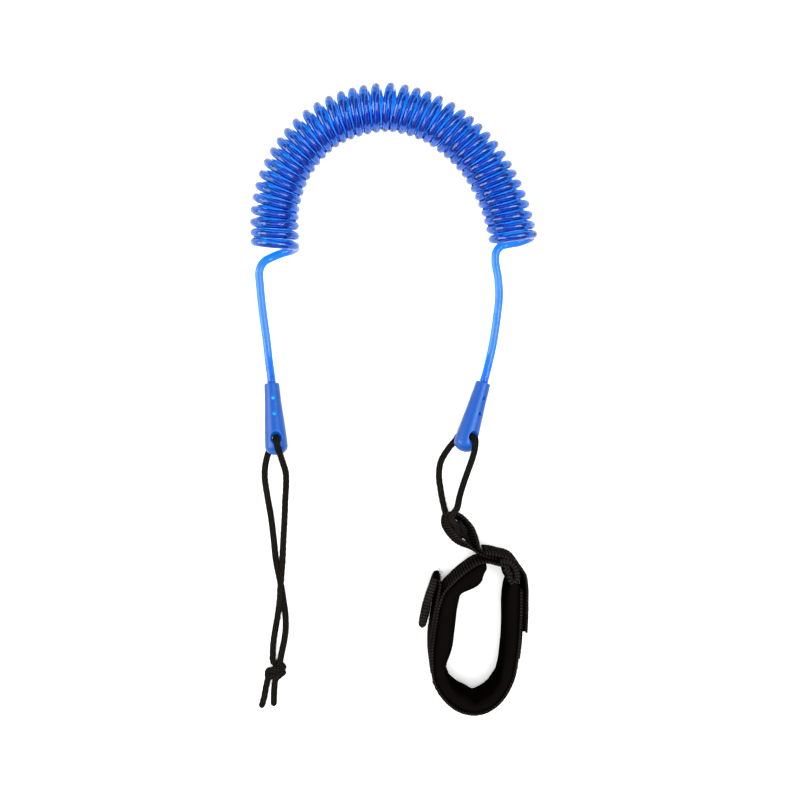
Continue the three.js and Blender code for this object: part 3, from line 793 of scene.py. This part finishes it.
STRING_Z = 0.00225  # height of a string that lies on the floor
STRING_STEP = 0.3 * MM
BOARD_TURN = (0.001, -0.022, 0)  # an offset from the cross hole
CUFF_TURN = (-0.008, -0.022, 0)
BOARD_FRONT = [
    (-0.0802, -0.0428, 0.0205), (-0.0789, -0.0500, 0.0125), (-0.0792, -0.0590, 0.0060),
    (-0.0801, -0.0700, 0.0030), (-0.0806, -0.0820, STRING_Z), (-0.0814, -0.0980, 0.00265),
    (-0.0819, -0.1120, 0.0042), (-0.0824, -0.1210, 0.0064), (-0.0830, -0.1300, 0.0072),
    (-0.0836, -0.1390, 0.0066), (-0.0850, -0.1490, 0.0046), (-0.0866, -0.1580, 0.0034),
    (-0.0880, -0.1670, 0.0034), (-0.0885, -0.1740, 0.0042),
]
BOARD_BACK = [
    (-0.0906, -0.0346, STRING_Z), (-0.0936, -0.0430, STRING_Z), (-0.0945, -0.0530, STRING_Z),
    (-0.0928, -0.0660, STRING_Z), (-0.0902, -0.0810, STRING_Z), (-0.0882, -0.0970, STRING_Z),
    (-0.0868, -0.1110, STRING_Z), (-0.0849, -0.1210, STRING_Z), (-0.0828, -0.1310, STRING_Z),
    (-0.0814, -0.1400, STRING_Z), (-0.0800, -0.1500, STRING_Z), (-0.0798, -0.1600, 0.00255),
    (-0.0806, -0.1670, 0.0030), (-0.0820, -0.1740, 0.0042),
]
KNOT = (-0.0860, -0.1884, 0.00555)  # the knot's middle
# Each half's way through the knot, from its middle: once round the other half and out as a tail.
FRONT_IN_KNOT = [
    (-0.0023, 0.0068, -0.0002), (-0.0006, 0.0044, -0.0026), (0.0034, 0.0036, -0.0014),
    (0.0049, 0.0026, 0.0012), (0.0024, 0.0020, 0.0033), (-0.0016, 0.0012, 0.0035),
    (-0.0052, 0.0004, 0.0018), (-0.0060, -0.0024, -0.0006), (-0.0061, -0.0056, -0.0020),
]
BACK_IN_KNOT = [
    (0.0026, 0.0068, -0.0002), (0.0020, 0.0040, 0.0006), (-0.0012, 0.0014, -0.0010),
    (-0.0044, -0.0012, -0.0020), (-0.0046, -0.0032, 0.0012), (-0.0012, -0.0032, 0.0033),
    (0.0030, -0.0020, 0.0028), (0.0047, -0.0012, -0.0004), (0.0024, -0.0034, -0.0026),
    (-0.0006, -0.0060, -0.0020),
]
TAIL_LEFT = [(-0.0934, -0.2000, 0.0030), (-0.0948, -0.2074, STRING_Z), (-0.0970, -0.2150, STRING_Z)]
TAIL_RIGHT = [(-0.0876, -0.2000, 0.0030), (-0.0880, -0.2074, STRING_Z), (-0.0882, -0.2138, STRING_Z)]

LOOP_ROOT = (0.0536, -0.1040)  # where the webbing loop leaves the cuff's neck
LOOP_HEADING = math.radians(130)
CUFF_OVER = [
    (0.0504, -0.0376, 0.0184), (0.0472, -0.0466, 0.0204), (0.0434, -0.0560, 0.0260),
    (0.0402, -0.0650, 0.0334), (0.0382, -0.0724, 0.0384),
]
CUFF_UNDER = [
    (0.0332, -0.0348, 0.0025), (0.0286, -0.0430, 0.0024), (0.0272, -0.0520, 0.0028),
    (0.0282, -0.0620, 0.0050), (0.0298, -0.0710, 0.0078),
]
# Each half's way on inside the webbing loop: along the loop, across it and up from its middle.
OVER_IN_LOOP = [
    (0.0212, 0.0012, 0.0095), (0.0182, 0.0020, 0.0045), (0.0166, 0.0004, 0.0005),
    (0.0182, -0.0020, -0.0025), (0.0206, -0.0002, -0.0042), (0.0254, 0.0026, -0.0052),
    (0.0205, 0.0030, -0.0070), (0.0155, 0.0004, -0.0072), (0.0122, -0.0004, -0.0074),
    (0.0092, 0.0004, -0.0076), (0.0062, 0.0006, -0.0076),
]
UNDER_IN_LOOP = [
    (0.0212, -0.0012, -0.0095), (0.0190, -0.0020, -0.0045), (0.0200, 0.0014, -0.0010),
    (0.0188, 0.0022, 0.0026), (0.0172, -0.0012, 0.0048), (0.0192, -0.0028, 0.0066),
    (0.0226, -0.0028, 0.0078), (0.0268, -0.0032, 0.0074),
]


def in_loop(along, across, up):
    """A place in the webbing loop: along it from its root, across it and up from its middle."""
    a = LOOP_HEADING
    x = LOOP_ROOT[0] + along * math.cos(a) - across * math.sin(a)
    y = LOOP_ROOT[1] + along * math.sin(a) + across * math.cos(a)
    return place(x, y, bpy.context.scene.leash_cuff.height / 2 + up)


PLAIT_RELIEF = 0.34 * MM  # how far a strand stands up in its middle


def braid(sizes):
    """The plaits' relief: at each crossing one of the two sets of strands lies on top."""
    plaits, pitch = sizes.braid_plaits, sizes.braid_pitch

    def relief(run, angle):
        a = angle / (2 * math.pi) * plaits + run / (2 * pitch)
        b = angle / (2 * math.pi) * plaits - run / (2 * pitch)
        first_on_top = (np.floor(a) + np.floor(b)) % 2 < 0.5
        fa, fb = 2 * (a % 1) - 1, 2 * (b % 1) - 1
        across = np.where(first_on_top, fa, fb)
        down = np.where(first_on_top, fb, fa)
        crown = np.sqrt(np.clip(1 - 0.92 * across**2, 0, 1)) * (1 - 0.45 * down**2)
        return PLAIT_RELIEF * (crown - 0.75)

    return relief


def string(name, route, bodies, turn, replaced, **facts):
    """One half of a string loop."""
    sizes = bpy.context.scene.leash_cord
    centres = spline(route, STRING_STEP)
    piece = tube(name, centres, sizes.string_diameter / 2, 30, braid(sizes), domes=(0.1, 1.1))
    finish_with(piece, "braid")
    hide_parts(*replaced)
    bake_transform(piece)


class LEASH_OT_board_string(bpy.types.Operator):
    """Thread the board's string through its fitting and tie its overhand knot"""

    bl_idname = "leash.board_string"
    bl_label = "Board string"

    def execute(self, context):
        where = fitting_frame("board")
        hole = where @ Vector((0, 0, 0))
        turn = (hole, hole + Vector(BOARD_TURN))
        knot = Vector(KNOT)
        front = out_of_hole(where, 1) + places(BOARD_FRONT)
        front += places([knot + Vector(p) for p in FRONT_IN_KNOT]) + places(TAIL_LEFT)
        back = out_of_hole(where, -1) + places(BOARD_BACK)
        back += places([knot + Vector(p) for p in BACK_IN_KNOT]) + places(TAIL_RIGHT)
        bodies = ("board_side", "board_string")
        string(
            "board_string_half_front", front, bodies, turn,
            ("board_string_front", "board_string_knot", "board_string_tail_left"), far_end="bare",
        )
        string(
            "board_string_half_back", back, bodies, turn,
            ("board_string_back", "board_string_tail_right"), far_end="bare",
        )
        return {"FINISHED"}


class LEASH_OT_cuff_string(bpy.types.Operator):
    """Thread the cuff's string through its fitting and tie it inside the webbing loop"""

    bl_idname = "leash.cuff_string"
    bl_label = "Cuff string"

    def execute(self, context):
        where = fitting_frame("cuff")
        hole = where @ Vector((0, 0, 0))
        turn = (hole, hole + Vector(CUFF_TURN))
        rim = context.scene.leash_cuff.loop_width / 2 + context.scene.leash_cord.string_diameter / 2 + GAP
        over = [(0.0315, -0.0012, rim + 1.6 * MM), (0.0255, -0.0006, rim - 0.6 * MM)] + OVER_IN_LOOP
        under = [(0.0315, 0.0010, -rim - 1.9 * MM), (0.0255, 0.0006, -rim + 0.6 * MM)] + UNDER_IN_LOOP
        over = out_of_hole(where, 1) + places(CUFF_OVER) + [in_loop(*p) for p in over]
        under = out_of_hole(where, -1) + places(CUFF_UNDER) + [in_loop(*p) for p in under]
        bodies = ("cuff_side", "cuff_link")
        string(
            "cuff_string_half_over", over, bodies, turn, ("cuff_string_over", "cuff_string_knot"),
            far_end="knot",
        )
        string("cuff_string_half_under", under, bodies, turn, ("cuff_string_under",), far_end="knot")
        return {"FINISHED"}


# ---------------------------------------------------------------- webbing
def webbing(name, line, offset, thick, low, high, rib, tilt=None):
    """A woven band that stands on edge along a plan line, with real ribs across it.

    line is an array of plan points and offset moves it sideways. tilt(share) leans the band."""
    run = run_of(line)
    half, height = thick / 2, high - low
    edge = [(half * math.cos(a), half * math.sin(a)) for a in np.linspace(0, math.pi, 7)[1:-1]]
    rise = np.linspace(-height / 2 + half, height / 2 - half, 22)
    section = [(half, z) for z in rise] + [(x, height / 2 - half + z) for x, z in edge]
    section += [(-half, z) for z in rise[::-1]] + [(-x, -height / 2 + half - z) for x, z in edge]
    section = np.array(section)
    push = np.where(np.abs(section[:, 0]) > 0.98 * half, np.sign(section[:, 0]), 0.0)
    rough = np.abs(np.sin(math.pi * run / rib))[:, None] * np.ones(len(section))[None]
    relief = RIB_RELIEF * (2 * rough - 1)
    size = np.ones(len(run))
    for distance in (run, run[-1] - run):
        near = np.clip(1 - distance / half, 0, 1)
        size = np.minimum(size, np.sqrt(1 - near * near * 0.96))
    across = section[None, :, 0] * size[:, None] + push[None] * relief + offset
    up = np.repeat(section[None, :, 1], len(run), axis=0)
    if tilt is not None:
        lean = tilt(run / run[-1])[:, None]
        across, up = across * np.cos(lean) - up * np.sin(lean), across * np.sin(lean) + up * np.cos(lean)
    rings = line[:, None] + across[..., None] * leftward(unit(np.gradient(line, axis=0)))[:, None]
    rings[..., 2] = (low + high) / 2 + up
    return loft(name, rings, run, 2 * (height + thick), relief)


STRAP_POINTS = [
    (0.0725, -0.1109), (0.0650, -0.1092), (0.0580, -0.1077), (0.0516, -0.1088), (0.0440, -0.1136),
    (0.0350, -0.1214), (0.0293, -0.1278), (0.0260, -0.1365), (0.0239, -0.1470), (0.0217, -0.1630),
    (0.0213, -0.1750), (0.0227, -0.1870), (0.0286, -0.1976), (0.0380, -0.2056), (0.0489, -0.2084),
    (0.0580, -0.2064), (0.0671, -0.1995), (0.0750, -0.1857), (0.0786, -0.1664), (0.0797, -0.1533),
    (0.0803, -0.1380), (0.0803, -0.1195),
]


class PlanLine:
    """The strap's middle line in plan, walked with the wrist opening on its left."""

    def __init__(self, points):
        self.points = spline([place(x, y) for x, y in points], 0.25 * MM)
        self.run = run_of(self.points)

    def at(self, share, offset):
        """Plan points at shares of the line, moved towards the opening by offset."""
        want = np.asarray(share, float) * self.run[-1]
        along = unit(sampled(want, self.run, unit(np.gradient(self.points, axis=0))))
        return sampled(want, self.run, self.points) + leftward(along) * np.asarray(offset)[..., None]

    def part(self, low, high, step):
        """Even points from one share to another."""
        count = max(3, round((high - low) * self.run[-1] / step))
        return self.at(np.linspace(low, high, count + 1), 0.0)


STRAP_LINE = PlanLine(STRAP_POINTS)
STRAP_END = 0.975  # share of the line where the strap is cut
BAND_STEP = 0.29 * MM
LOOP_SHARES = (0.10, 0.22, 0.36, 0.50, 0.64, 0.76, 0.86, 0.93, 0.975)  # shares of the webbing loop's length
LOOP_IN_NECK = (0.006, 0.02, 0.034, 0.046, 0.055)  # shares of the strap's line
LOOP_DEPTHS = (-2.0 * MM, -4.1 * MM)  # the loop's two ends in the neck, from the strap's line
LOOP_LEAN = math.radians(13)


class LEASH_OT_webbing_loop(bpy.types.Operator):
    """Fold the webbing loop that holds the cuff's string, with its two ends in the neck"""

    bl_idname = "leash.webbing_loop"
    bl_label = "Webbing loop"

    def execute(self, context):
        sizes = context.scene.leash_cuff
        t = sizes.loop_thickness
        inner, outer = (STRAP_LINE.at(np.array(LOOP_IN_NECK), depth) for depth in LOOP_DEPTHS)
        shares = np.array(LOOP_SHARES)
        half = self.half_width(shares, sizes) - t / 2
        left = [in_loop(s * sizes.loop_length, w, 0) for s, w in zip(shares, half)]
        right = [in_loop(s * sizes.loop_length, -w, 0) for s, w in zip(shares, half)]
        tip = in_loop(sizes.loop_length - t / 2, 0, 0)
        route = [Vector(p) for p in inner] + left + [tip] + right[::-1] + [Vector(p) for p in outer[::-1]]
        line = spline([Vector((p.x, p.y, 0)) for p in route], 0.26 * MM)
        low, high = (sizes.height / 2 + side * sizes.loop_width / 2 for side in (-1, 1))
        loop = webbing("folded_webbing_loop", line, 0.0, t, low, high, sizes.rib, self.lean)
        finish_with(loop, "ribbed_webbing")
        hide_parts("webbing_loop", "loop_tail_inner", "loop_tail_outer")
        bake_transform(loop)
        return {"FINISHED"}

    def half_width(self, share, sizes):
        """Half the loop's outer width at shares of its length: pinched at the root, round at the tip."""
        spread, root = sizes.loop_spread / 2, sizes.loop_thickness + 0.1 * MM
        swell = np.sqrt(np.clip(1 - ((share - 0.6) / 0.4) ** 2, 0, 1))
        neck = smoothstep((share - 0.03) / 0.52)
        return np.where(share > 0.6, spread * swell, root + (spread - root) * neck)

    def lean(self, share):
        """Each side of the loop leans out at its top, and its tip and ends stand straight."""
        side = 1 - 2 * smoothstep((share - 0.42) / 0.16)
        free = smoothstep((share - 0.15) / 0.15), smoothstep((0.9 - share) / 0.15)
        return LOOP_LEAN * side * free[0] * free[1]


# ---------------------------------------------------------------- padded cuff
PAD_SPAN = (0.058, 0.999)  # shares of the strap line
PAD_NEAR = 1.15 * MM  # the pad's outside, from the strap's middle line
# The pad's inner face: share of the strap line, and distance from it, in millimetres.
PAD_SHAPE = [
    (0.058, 5.0), (0.078, 9.4), (0.098, 12.6), (0.122, 13.8), (0.148, 11.6), (0.168, 8.6),
    (0.190, 10.6), (0.250, 12.4), (0.330, 13.3), (0.365, 12.6), (0.395, 9.4), (0.412, 8.6),
    (0.440, 9.0), (0.500, 8.8), (0.550, 10.4), (0.578, 9.2), (0.592, 7.4), (0.612, 8.2),
    (0.660, 8.0), (0.720, 7.6), (0.780, 8.6), (0.860, 9.2), (0.930, 10.0), (0.965, 9.6), (0.999, 7.6),
]
PAD_RINGS = 101
PAD_FACE = 16  # points up each face of a ring
PAD_RIM = 5  # points round each of its rims
PAD_CLOSES = ((0, 0.45), (1, 0.8), (-2, 0.8), (-1, 0.45))  # the end rings and their sizes
CLOTH = {
    "quality": 6, "mass": 0.25, "tension_stiffness": 12, "compression_stiffness": 12, "shear_stiffness": 6,
    "bending_stiffness": 0.6, "use_pressure": True, "uniform_pressure_force": 4, "vertex_group_mass": "held",
}
SWELL_FRAMES = 20
MOST_SWELL = 1.0 * MM


class LEASH_OT_padded_cuff(bpy.types.Operator):
    """Sew the jersey pad of the cuff, and let it swell over its foam"""

    bl_idname = "leash.padded_cuff"
    bl_label = "Padded cuff"

    def execute(self, context):
        pad = self.blank_pad(context.scene.leash_cuff)
        self.swell(pad)
        smooth = pad.modifiers.new("smooth", "SUBSURF")
        smooth.levels = 2
        smooth.render_levels = 2
        applied(pad)
        finish_with(pad, "knit")
        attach(pad, "cuff")
        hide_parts("cuff_cover", "cuff_foam", "cuff_lining")
        return {"FINISHED"}

    def blank_pad(self, sizes):
        """The pad before it swells: a soft-edged band of the foam's own thickness."""
        share = np.linspace(*PAD_SPAN, PAD_RINGS)
        key = np.array(PAD_SHAPE)
        inner = np.interp(share, key[:, 0], key[:, 1]) * MM
        inner = np.convolve(np.pad(inner, 2, mode="edge"), np.array([1, 2, 3, 2, 1]) / 9, mode="valid")
        edges = 0.3 * MM, sizes.height - 0.2 * MM
        rings = np.array([self.section(s, PAD_NEAR, far - 0.5 * MM, *edges) for s, far in zip(share, inner)])
        for i, size in PAD_CLOSES:
            middle = rings[i].mean(axis=0)
            rings[i] = middle + (rings[i] - middle) * (size, size, 1)
        run = (share - share[0]) * STRAP_LINE.run[-1]
        return loft("jersey_pad", rings, run, 2 * (sizes.height + 9 * MM))

    def section(self, share, near, far, low, high):
        """One ring: flat against the strap, round at the rims."""
        middle, half = (near + far) / 2, (far - near) / 2
        rim = half * 0.95
        faces = [(high - low - 2 * rim) * k / (PAD_FACE - 1) for k in range(PAD_FACE)]
        turn = [math.pi * k / (PAD_RIM + 1) for k in range(1, PAD_RIM + 1)]
        points = [(near, low + rim + rise) for rise in faces]
        points += [(middle - half * math.cos(a), high - rim + rim * math.sin(a)) for a in turn]
        points += [(far, high - rim - rise) for rise in faces]
        points += [(middle + half * math.cos(a), low + rim - rim * math.sin(a)) for a in turn]
        offsets, heights = np.array(points).T
        ring = STRAP_LINE.at(np.full(len(points), share), offsets)
        ring[:, 2] = heights
        return ring

    def swell(self, pad):
        """Cloth under a little pressure, held where it meets the strap and at its two ends."""
        before = np.array([v.co for v in pad.data.vertices])
        sides = 2 * (PAD_FACE + PAD_RIM)
        row, point = np.divmod(np.arange(len(before)), sides)
        still = (point < PAD_FACE) | (row < 2) | (row >= PAD_RINGS - 2)
        pad.vertex_groups.new(name="held").add(np.flatnonzero(still).tolist(), 1.0, "REPLACE")
        fabric = pad.modifiers.new("cloth", "CLOTH")
        for key, value in CLOTH.items():
            setattr(fabric.settings, key, value)
        fabric.settings.effector_weights.gravity = 0
        fabric.point_cache.frame_start = 1
        fabric.point_cache.frame_end = SWELL_FRAMES
        scene = bpy.context.scene
        for step in range(1, SWELL_FRAMES + 1):
            scene.frame_set(step)
        applied(pad)
        scene.frame_set(1)
        moved = np.array([v.co for v in pad.data.vertices]) - before
        size = np.linalg.norm(moved, axis=1, keepdims=True)
        after = before + moved * np.minimum(1, MOST_SWELL / np.maximum(size, 1e-9))
        pad.data.vertices.foreach_set("co", after.ravel())


# ---------------------------------------------------------------- strap, closure and tab
LOW = 0.8 * MM  # the lower edge of the cuff's webbing, and how far the folded straps keep from its top
TAPE = (-1.5 * MM, 0.8 * MM)  # offset and thickness of the hook and pile tapes
TAPE_INSET = 4 * MM
TAPE_STEP = 0.8 * MM


class LEASH_OT_cuff_strap(bpy.types.Operator):
    """Wrap the ribbed strap round the pad, with its pile patch"""

    bl_idname = "leash.cuff_strap"
    bl_label = "Cuff strap"

    def execute(self, context):
        sizes = context.scene.leash_cuff
        line = STRAP_LINE.part(0.0, STRAP_END, BAND_STEP)
        strap = webbing("ribbed_strap", line, 0.0, sizes.strap, LOW, sizes.height - 0.5 * MM, sizes.rib)
        finish_with(strap, "ribbed_webbing")
        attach(strap, "cuff")
        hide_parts("cuff_strap")
        line = STRAP_LINE.part(0.79, STRAP_END, TAPE_STEP)
        pile = webbing("pile_tape", line, *TAPE, TAPE_INSET, sizes.height - TAPE_INSET, 1.1 * MM)
        finish_with(pile, "loop_pile")
        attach(pile, "cuff")
        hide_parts("pile_patch")
        return {"FINISHED"}


OVER_NECK = (0.064, 0.045, 0.025, 0.006)  # the closing strap's shares of the strap's line, over the neck
FLAP_HINGE = (0.0794, -0.1109)
FLAP_CORNER = ((0.0770, -0.1070), FLAP_HINGE, (0.0829, -0.1156))
FLAP_SHARES = (0.975, 0.957, 0.935, 0.910, 0.885, 0.862)
NECK_FOLD = [
    (0.0660, -0.1075), (0.0715, -0.1073), (0.0756, -0.1098), (0.0775, -0.1140), (0.0777, -0.1188),
    (0.0754, -0.1212), (0.0730, -0.1188), (0.0724, -0.1145), (0.0690, -0.1115),
]
FOLD_THICK = 4.2 * MM


class LEASH_OT_closure(bpy.types.Operator):
    """Fold the closing strap over the neck and down the side, with its hook tape"""

    bl_idname = "leash.closure"
    bl_label = "Closing strap"

    def execute(self, context):
        sizes = context.scene.leash_cuff
        low, high = LOW, sizes.height - LOW
        over_neck = [Vector(p) for p in STRAP_LINE.at(np.array(OVER_NECK), -6.1 * MM)]
        down = [Vector(p) for p in STRAP_LINE.at(np.array(FLAP_SHARES), -4.1 * MM)]
        line = spline(over_neck + places(FLAP_CORNER) + down, BAND_STEP)
        band = webbing("closing_strap_and_flap", line, 0.0, sizes.strap, low, high, sizes.rib)
        finish_with(band, "ribbed_webbing")
        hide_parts("closing_strap", "closing_flap")
        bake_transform(band)
        line = spline(places(NECK_FOLD), BAND_STEP)
        fold = webbing("folded_neck_end", line, 0.0, FOLD_THICK, low, high, sizes.rib)
        finish_with(fold, "ribbed_webbing")
        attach(fold, "cuff")
        line = even(spline(down[1:], 0.5 * MM), TAPE_STEP)
        hook = webbing("hook_tape", line, *TAPE, TAPE_INSET, sizes.height - TAPE_INSET, 0.9 * MM)
        finish_with(hook, "loop_pile")
        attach(hook, "closing_flap")
        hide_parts("hook_patch")
        return {"FINISHED"}


TAB_POINTS = [
    (0.0246, -0.1186), (0.0229, -0.1238), (0.0205, -0.1306), (0.0187, -0.1366), (0.0167, -0.1460),
    (0.0161, -0.1510),
]
TAB_LEAN = math.radians(4.0)  # outwards at the top
PULL_SHARES = (0.42, 0.38, 0.34, 0.30, 0.27)
PULL_OFFSETS = (-0.5, -1.4, -1.9, -1.9, -1.9)  # in millimetres: its cut end is pressed flat on the strap
PULL_ROOT = ((0.0259, -0.1276), (0.0266, -0.1216), (0.0260, -0.1190))


class LEASH_OT_pull_tab(bpy.types.Operator):
    """Fold the strap's end outwards as a pull tab"""

    bl_idname = "leash.pull_tab"
    bl_label = "Pull tab"

    def execute(self, context):
        sizes = context.scene.leash_cuff
        low, high = LOW, sizes.height - LOW
        route = [Vector(p) for p in STRAP_LINE.at(np.array(PULL_SHARES), np.array(PULL_OFFSETS) * MM)]
        line = spline(route + places(PULL_ROOT), BAND_STEP)
        strap = webbing("pull_strap_end", line, 0.0, sizes.strap, low, high, sizes.rib)
        finish_with(strap, "ribbed_webbing")
        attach(strap, "cuff")
        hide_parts("pull_strap")
        line = spline(places(TAB_POINTS), 0.25 * MM)
        lean = np.full(len(line), TAB_LEAN)
        tab = webbing("folded_pull_tab", line, 0.0, sizes.tab, low, high, sizes.rib, lambda share: lean)
        finish_with(tab, "ribbed_webbing")
        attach(tab, "pull_tab")
        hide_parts("pull_tab")
        return {"FINISHED"}


# ---------------------------------------------------------------- stitching and loose threads
NECK_SEAMS = (0.026, 0.045, 0.058)  # shares of the strap's line
NECK_FACE = -7.25 * MM  # the closing strap's outside, from the strap's line
NECK_SLANT = (0.005, 1.6 * MM)  # how far each of its stitches runs along the line, and up
NECK_PITCH = 2.6 * MM
TOP_SEAMS = (0.44, 0.775)  # the seams along the strap start and end at these shares
TOP_INSET = 4.5 * MM
TOP_PITCH = 1.35  # from one stitch to the next, in stitches
THREAD_RADIUS = 0.42 * MM
HAIR_RADIUS = 0.13 * MM
FRAYS = {  # each tuft's body, roots in the layout and number of hairs
    "tab_root_fray": ("cuff", [(0.0274, -0.1184), (0.0268, -0.1196)], 26),
    "neck_fray": ("cuff", [(0.0548, -0.1020), (0.0600, -0.1012), (0.0703, -0.1140)], 24),
    "flap_end_fray": ("closing_flap", [], 30),  # its root is the flap's cut end
}


class LEASH_OT_stitching(bpy.types.Operator):
    """Sew the rows across the neck and along the strap, and fray the cut ends"""

    bl_idname = "leash.stitching"
    bl_label = "Stitching"

    def execute(self, context):
        sizes = context.scene.leash_cuff
        mid, reach = sizes.height / 2, sizes.loop_width / 2
        for n, share in enumerate(NECK_SEAMS, 1):
            ends = (share, share + NECK_SLANT[0])
            heights = np.arange(mid - reach + 2 * MM, mid + reach - 2 * MM, NECK_PITCH)
            slant = [self.stitch(ends, NECK_FACE, z, z + NECK_SLANT[1]) for z in heights]
            row = joined(f"neck_stitching_{n}", slant)
            finish_with(row, "sewing_thread")
            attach(row, "cuff")
            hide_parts(f"neck_stitch_{n}")
        stitch = sizes.stitch / STRAP_LINE.run[-1]
        rows = joined("strap_topstitching", [
            self.stitch((share, share + stitch), -0.95 * MM, z, z)
            for z in (TOP_INSET, sizes.height - TOP_INSET)
            for share in np.arange(*TOP_SEAMS, sizes.stitch * TOP_PITCH / STRAP_LINE.run[-1])
        ])
        finish_with(rows, "sewing_thread")
        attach(rows, "cuff")
        self.fray(sizes)
        return {"FINISHED"}

    def stitch(self, shares, offset, low, high):
        """One raised stitch, sunk at both ends."""
        a, b = STRAP_LINE.at(np.array(shares), offset)
        a[2], b[2] = low, high
        centres = np.array([a + (b - a) * k / 6 for k in range(7)])
        return tube("stitch", centres, THREAD_RADIUS, 8, domes=(2.2, 2.2))

    def fray(self, sizes):
        """Short loose fibres at the tab's root, the neck and the flap's cut end."""
        luck = random.Random(7)
        low, high = 2 * MM, sizes.height - LOW
        flap_end = [Vector(STRAP_LINE.at(np.array([0.858]), -4.6 * MM)[0])]
        for name, (body, roots, count) in FRAYS.items():
            roots = places(roots) or flap_end
            hairs = []
            for _ in range(count):
                root = luck.choice(roots)
                start = np.array((root.x, root.y, luck.uniform(low, high)))
                way = np.array([luck.gauss(0, 1), luck.gauss(0, 1), luck.gauss(0, 0.5)])
                way = way / np.linalg.norm(way) * luck.uniform(0.8, 2.0) * MM
                bend = np.array([luck.gauss(0, 0.5), luck.gauss(0, 0.5), luck.gauss(0, 0.5)]) * MM
                centres = np.array([start + way * s + bend * s * s for s in np.linspace(0, 1, 6)])
                centres[:, 2] = np.clip(centres[:, 2], 0.4 * MM, sizes.height + 1 * MM)
                hairs.append(tube("hair", centres, HAIR_RADIUS, 5))
            tuft = joined(name, hairs)
            finish_with(tuft, "sewing_thread")
            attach(tuft, body)


# ---------------------------------------------------------------- stage
CAMERA_HEIGHT = 0.9
VIEW_WIDTH = 0.56  # what the camera sees of the floor
DAYLIGHT = 0.88
LIT = (0, 0.1, 0)  # where the lights point
SOFTBOXES = (  # name, place, size, power, and what it is hidden from: the side ones only draw highlights
    ("left_softbox", (-1.30, 0.15, 0.75), 1.10, 42.0, "visible_diffuse"),
    ("right_softbox", (0.80, 0.20, 1.15), 0.80, 25.0, "visible_diffuse"),
    ("top_softbox", (0.06, -0.10, 2.2), 1.4, 85.0, "visible_glossy"),
)


class LEASH_OT_stage(bpy.types.Operator):
    """Lay the pale floor, light it softly and look straight down"""

    bl_idname = "leash.stage"
    bl_label = "Stage"

    def execute(self, context):
        scene = context.scene
        scene.view_settings.view_transform = "Standard"
        self.floor()
        world = bpy.data.worlds.new("studio")
        world.use_nodes = True
        sky = world.node_tree.nodes["Background"].inputs
        sky["Color"].default_value = (1, 1, 1, 1)
        sky["Strength"].default_value = DAYLIGHT
        scene.world = world
        for softbox in SOFTBOXES:
            self.softbox(*softbox)
        lens = bpy.data.cameras.new("camera")
        lens.sensor_width = 36
        lens.lens = lens.sensor_width / VIEW_WIDTH * CAMERA_HEIGHT
        lens.clip_start = 0.01
        camera = bpy.data.objects.new("camera", lens)
        camera.location = place(0, 0, CAMERA_HEIGHT)
        scene.collection.objects.link(camera)
        scene.camera = camera
        return {"FINISHED"}

    def floor(self):
        """A flat grid, well past what the camera sees."""
        mesh = bpy.data.meshes.new("floor")
        tool = bmesh.new()
        bmesh.ops.create_grid(tool, x_segments=8, y_segments=8, size=4)
        tool.to_mesh(mesh)
        tool.free()
        ground = bpy.data.objects.new("floor", mesh)
        bpy.context.scene.collection.objects.link(ground)
        finish_with(ground, "pale_floor")

    def softbox(self, name, at, size, power, hidden_from):
        """A square area light that points at the leash."""
        lamp = bpy.data.lights.new(name, "AREA")
        lamp.shape = "SQUARE"
        lamp.size = size
        lamp.energy = power
        light = bpy.data.objects.new(name, lamp)
        light.location = at
        light.rotation_euler = (Vector(LIT) - Vector(at)).to_track_quat("-Z", "Y").to_euler()
        setattr(light, hidden_from, False)
        bpy.context.scene.collection.objects.link(light)


# ---------------------------------------------------------------- add-on
OPERATORS = (
    LEASH_OT_stage, LEASH_OT_coiled_cord, LEASH_OT_end_fittings, LEASH_OT_board_string, LEASH_OT_cuff_string,
    LEASH_OT_webbing_loop, LEASH_OT_cuff_strap, LEASH_OT_padded_cuff, LEASH_OT_closure, LEASH_OT_pull_tab,
    LEASH_OT_stitching,
)
SIZES = {
    "leash_cord": LeashCordSizes, "leash_fitting": LeashFittingSizes, "leash_cuff": LeashCuffSizes,
    "leash_colours": LeashColours,
}


class VIEW3D_PT_leash(bpy.types.Panel):
    """The leash's sizes, colours and pieces"""

    bl_label = "Wrist Leash"
    bl_idname = "VIEW3D_PT_leash"
    bl_space_type = "VIEW_3D"
    bl_region_type = "UI"
    bl_category = "Leash"

    def draw(self, context):
        for name, sizes in SIZES.items():
            column = self.layout.column(align=True)
            group = getattr(context.scene, name)
            for key in sizes.__annotations__:
                column.prop(group, key)
        for operator in OPERATORS:
            self.layout.operator(operator.bl_idname)


CLASSES = (*SIZES.values(), *OPERATORS, VIEW3D_PT_leash)


def register():
    for cls in CLASSES:
        bpy.utils.register_class(cls)
    for name, sizes in SIZES.items():
        setattr(bpy.types.Scene, name, bpy.props.PointerProperty(type=sizes))


def unregister():
    for name in SIZES:
        delattr(bpy.types.Scene, name)
    for cls in reversed(CLASSES):
        bpy.utils.unregister_class(cls)


def main():
    register()
    for operator in OPERATORS:
        group, name = operator.bl_idname.split(".")
        getattr(getattr(bpy.ops, group), name)()


if __name__ == "__main__":
    main()
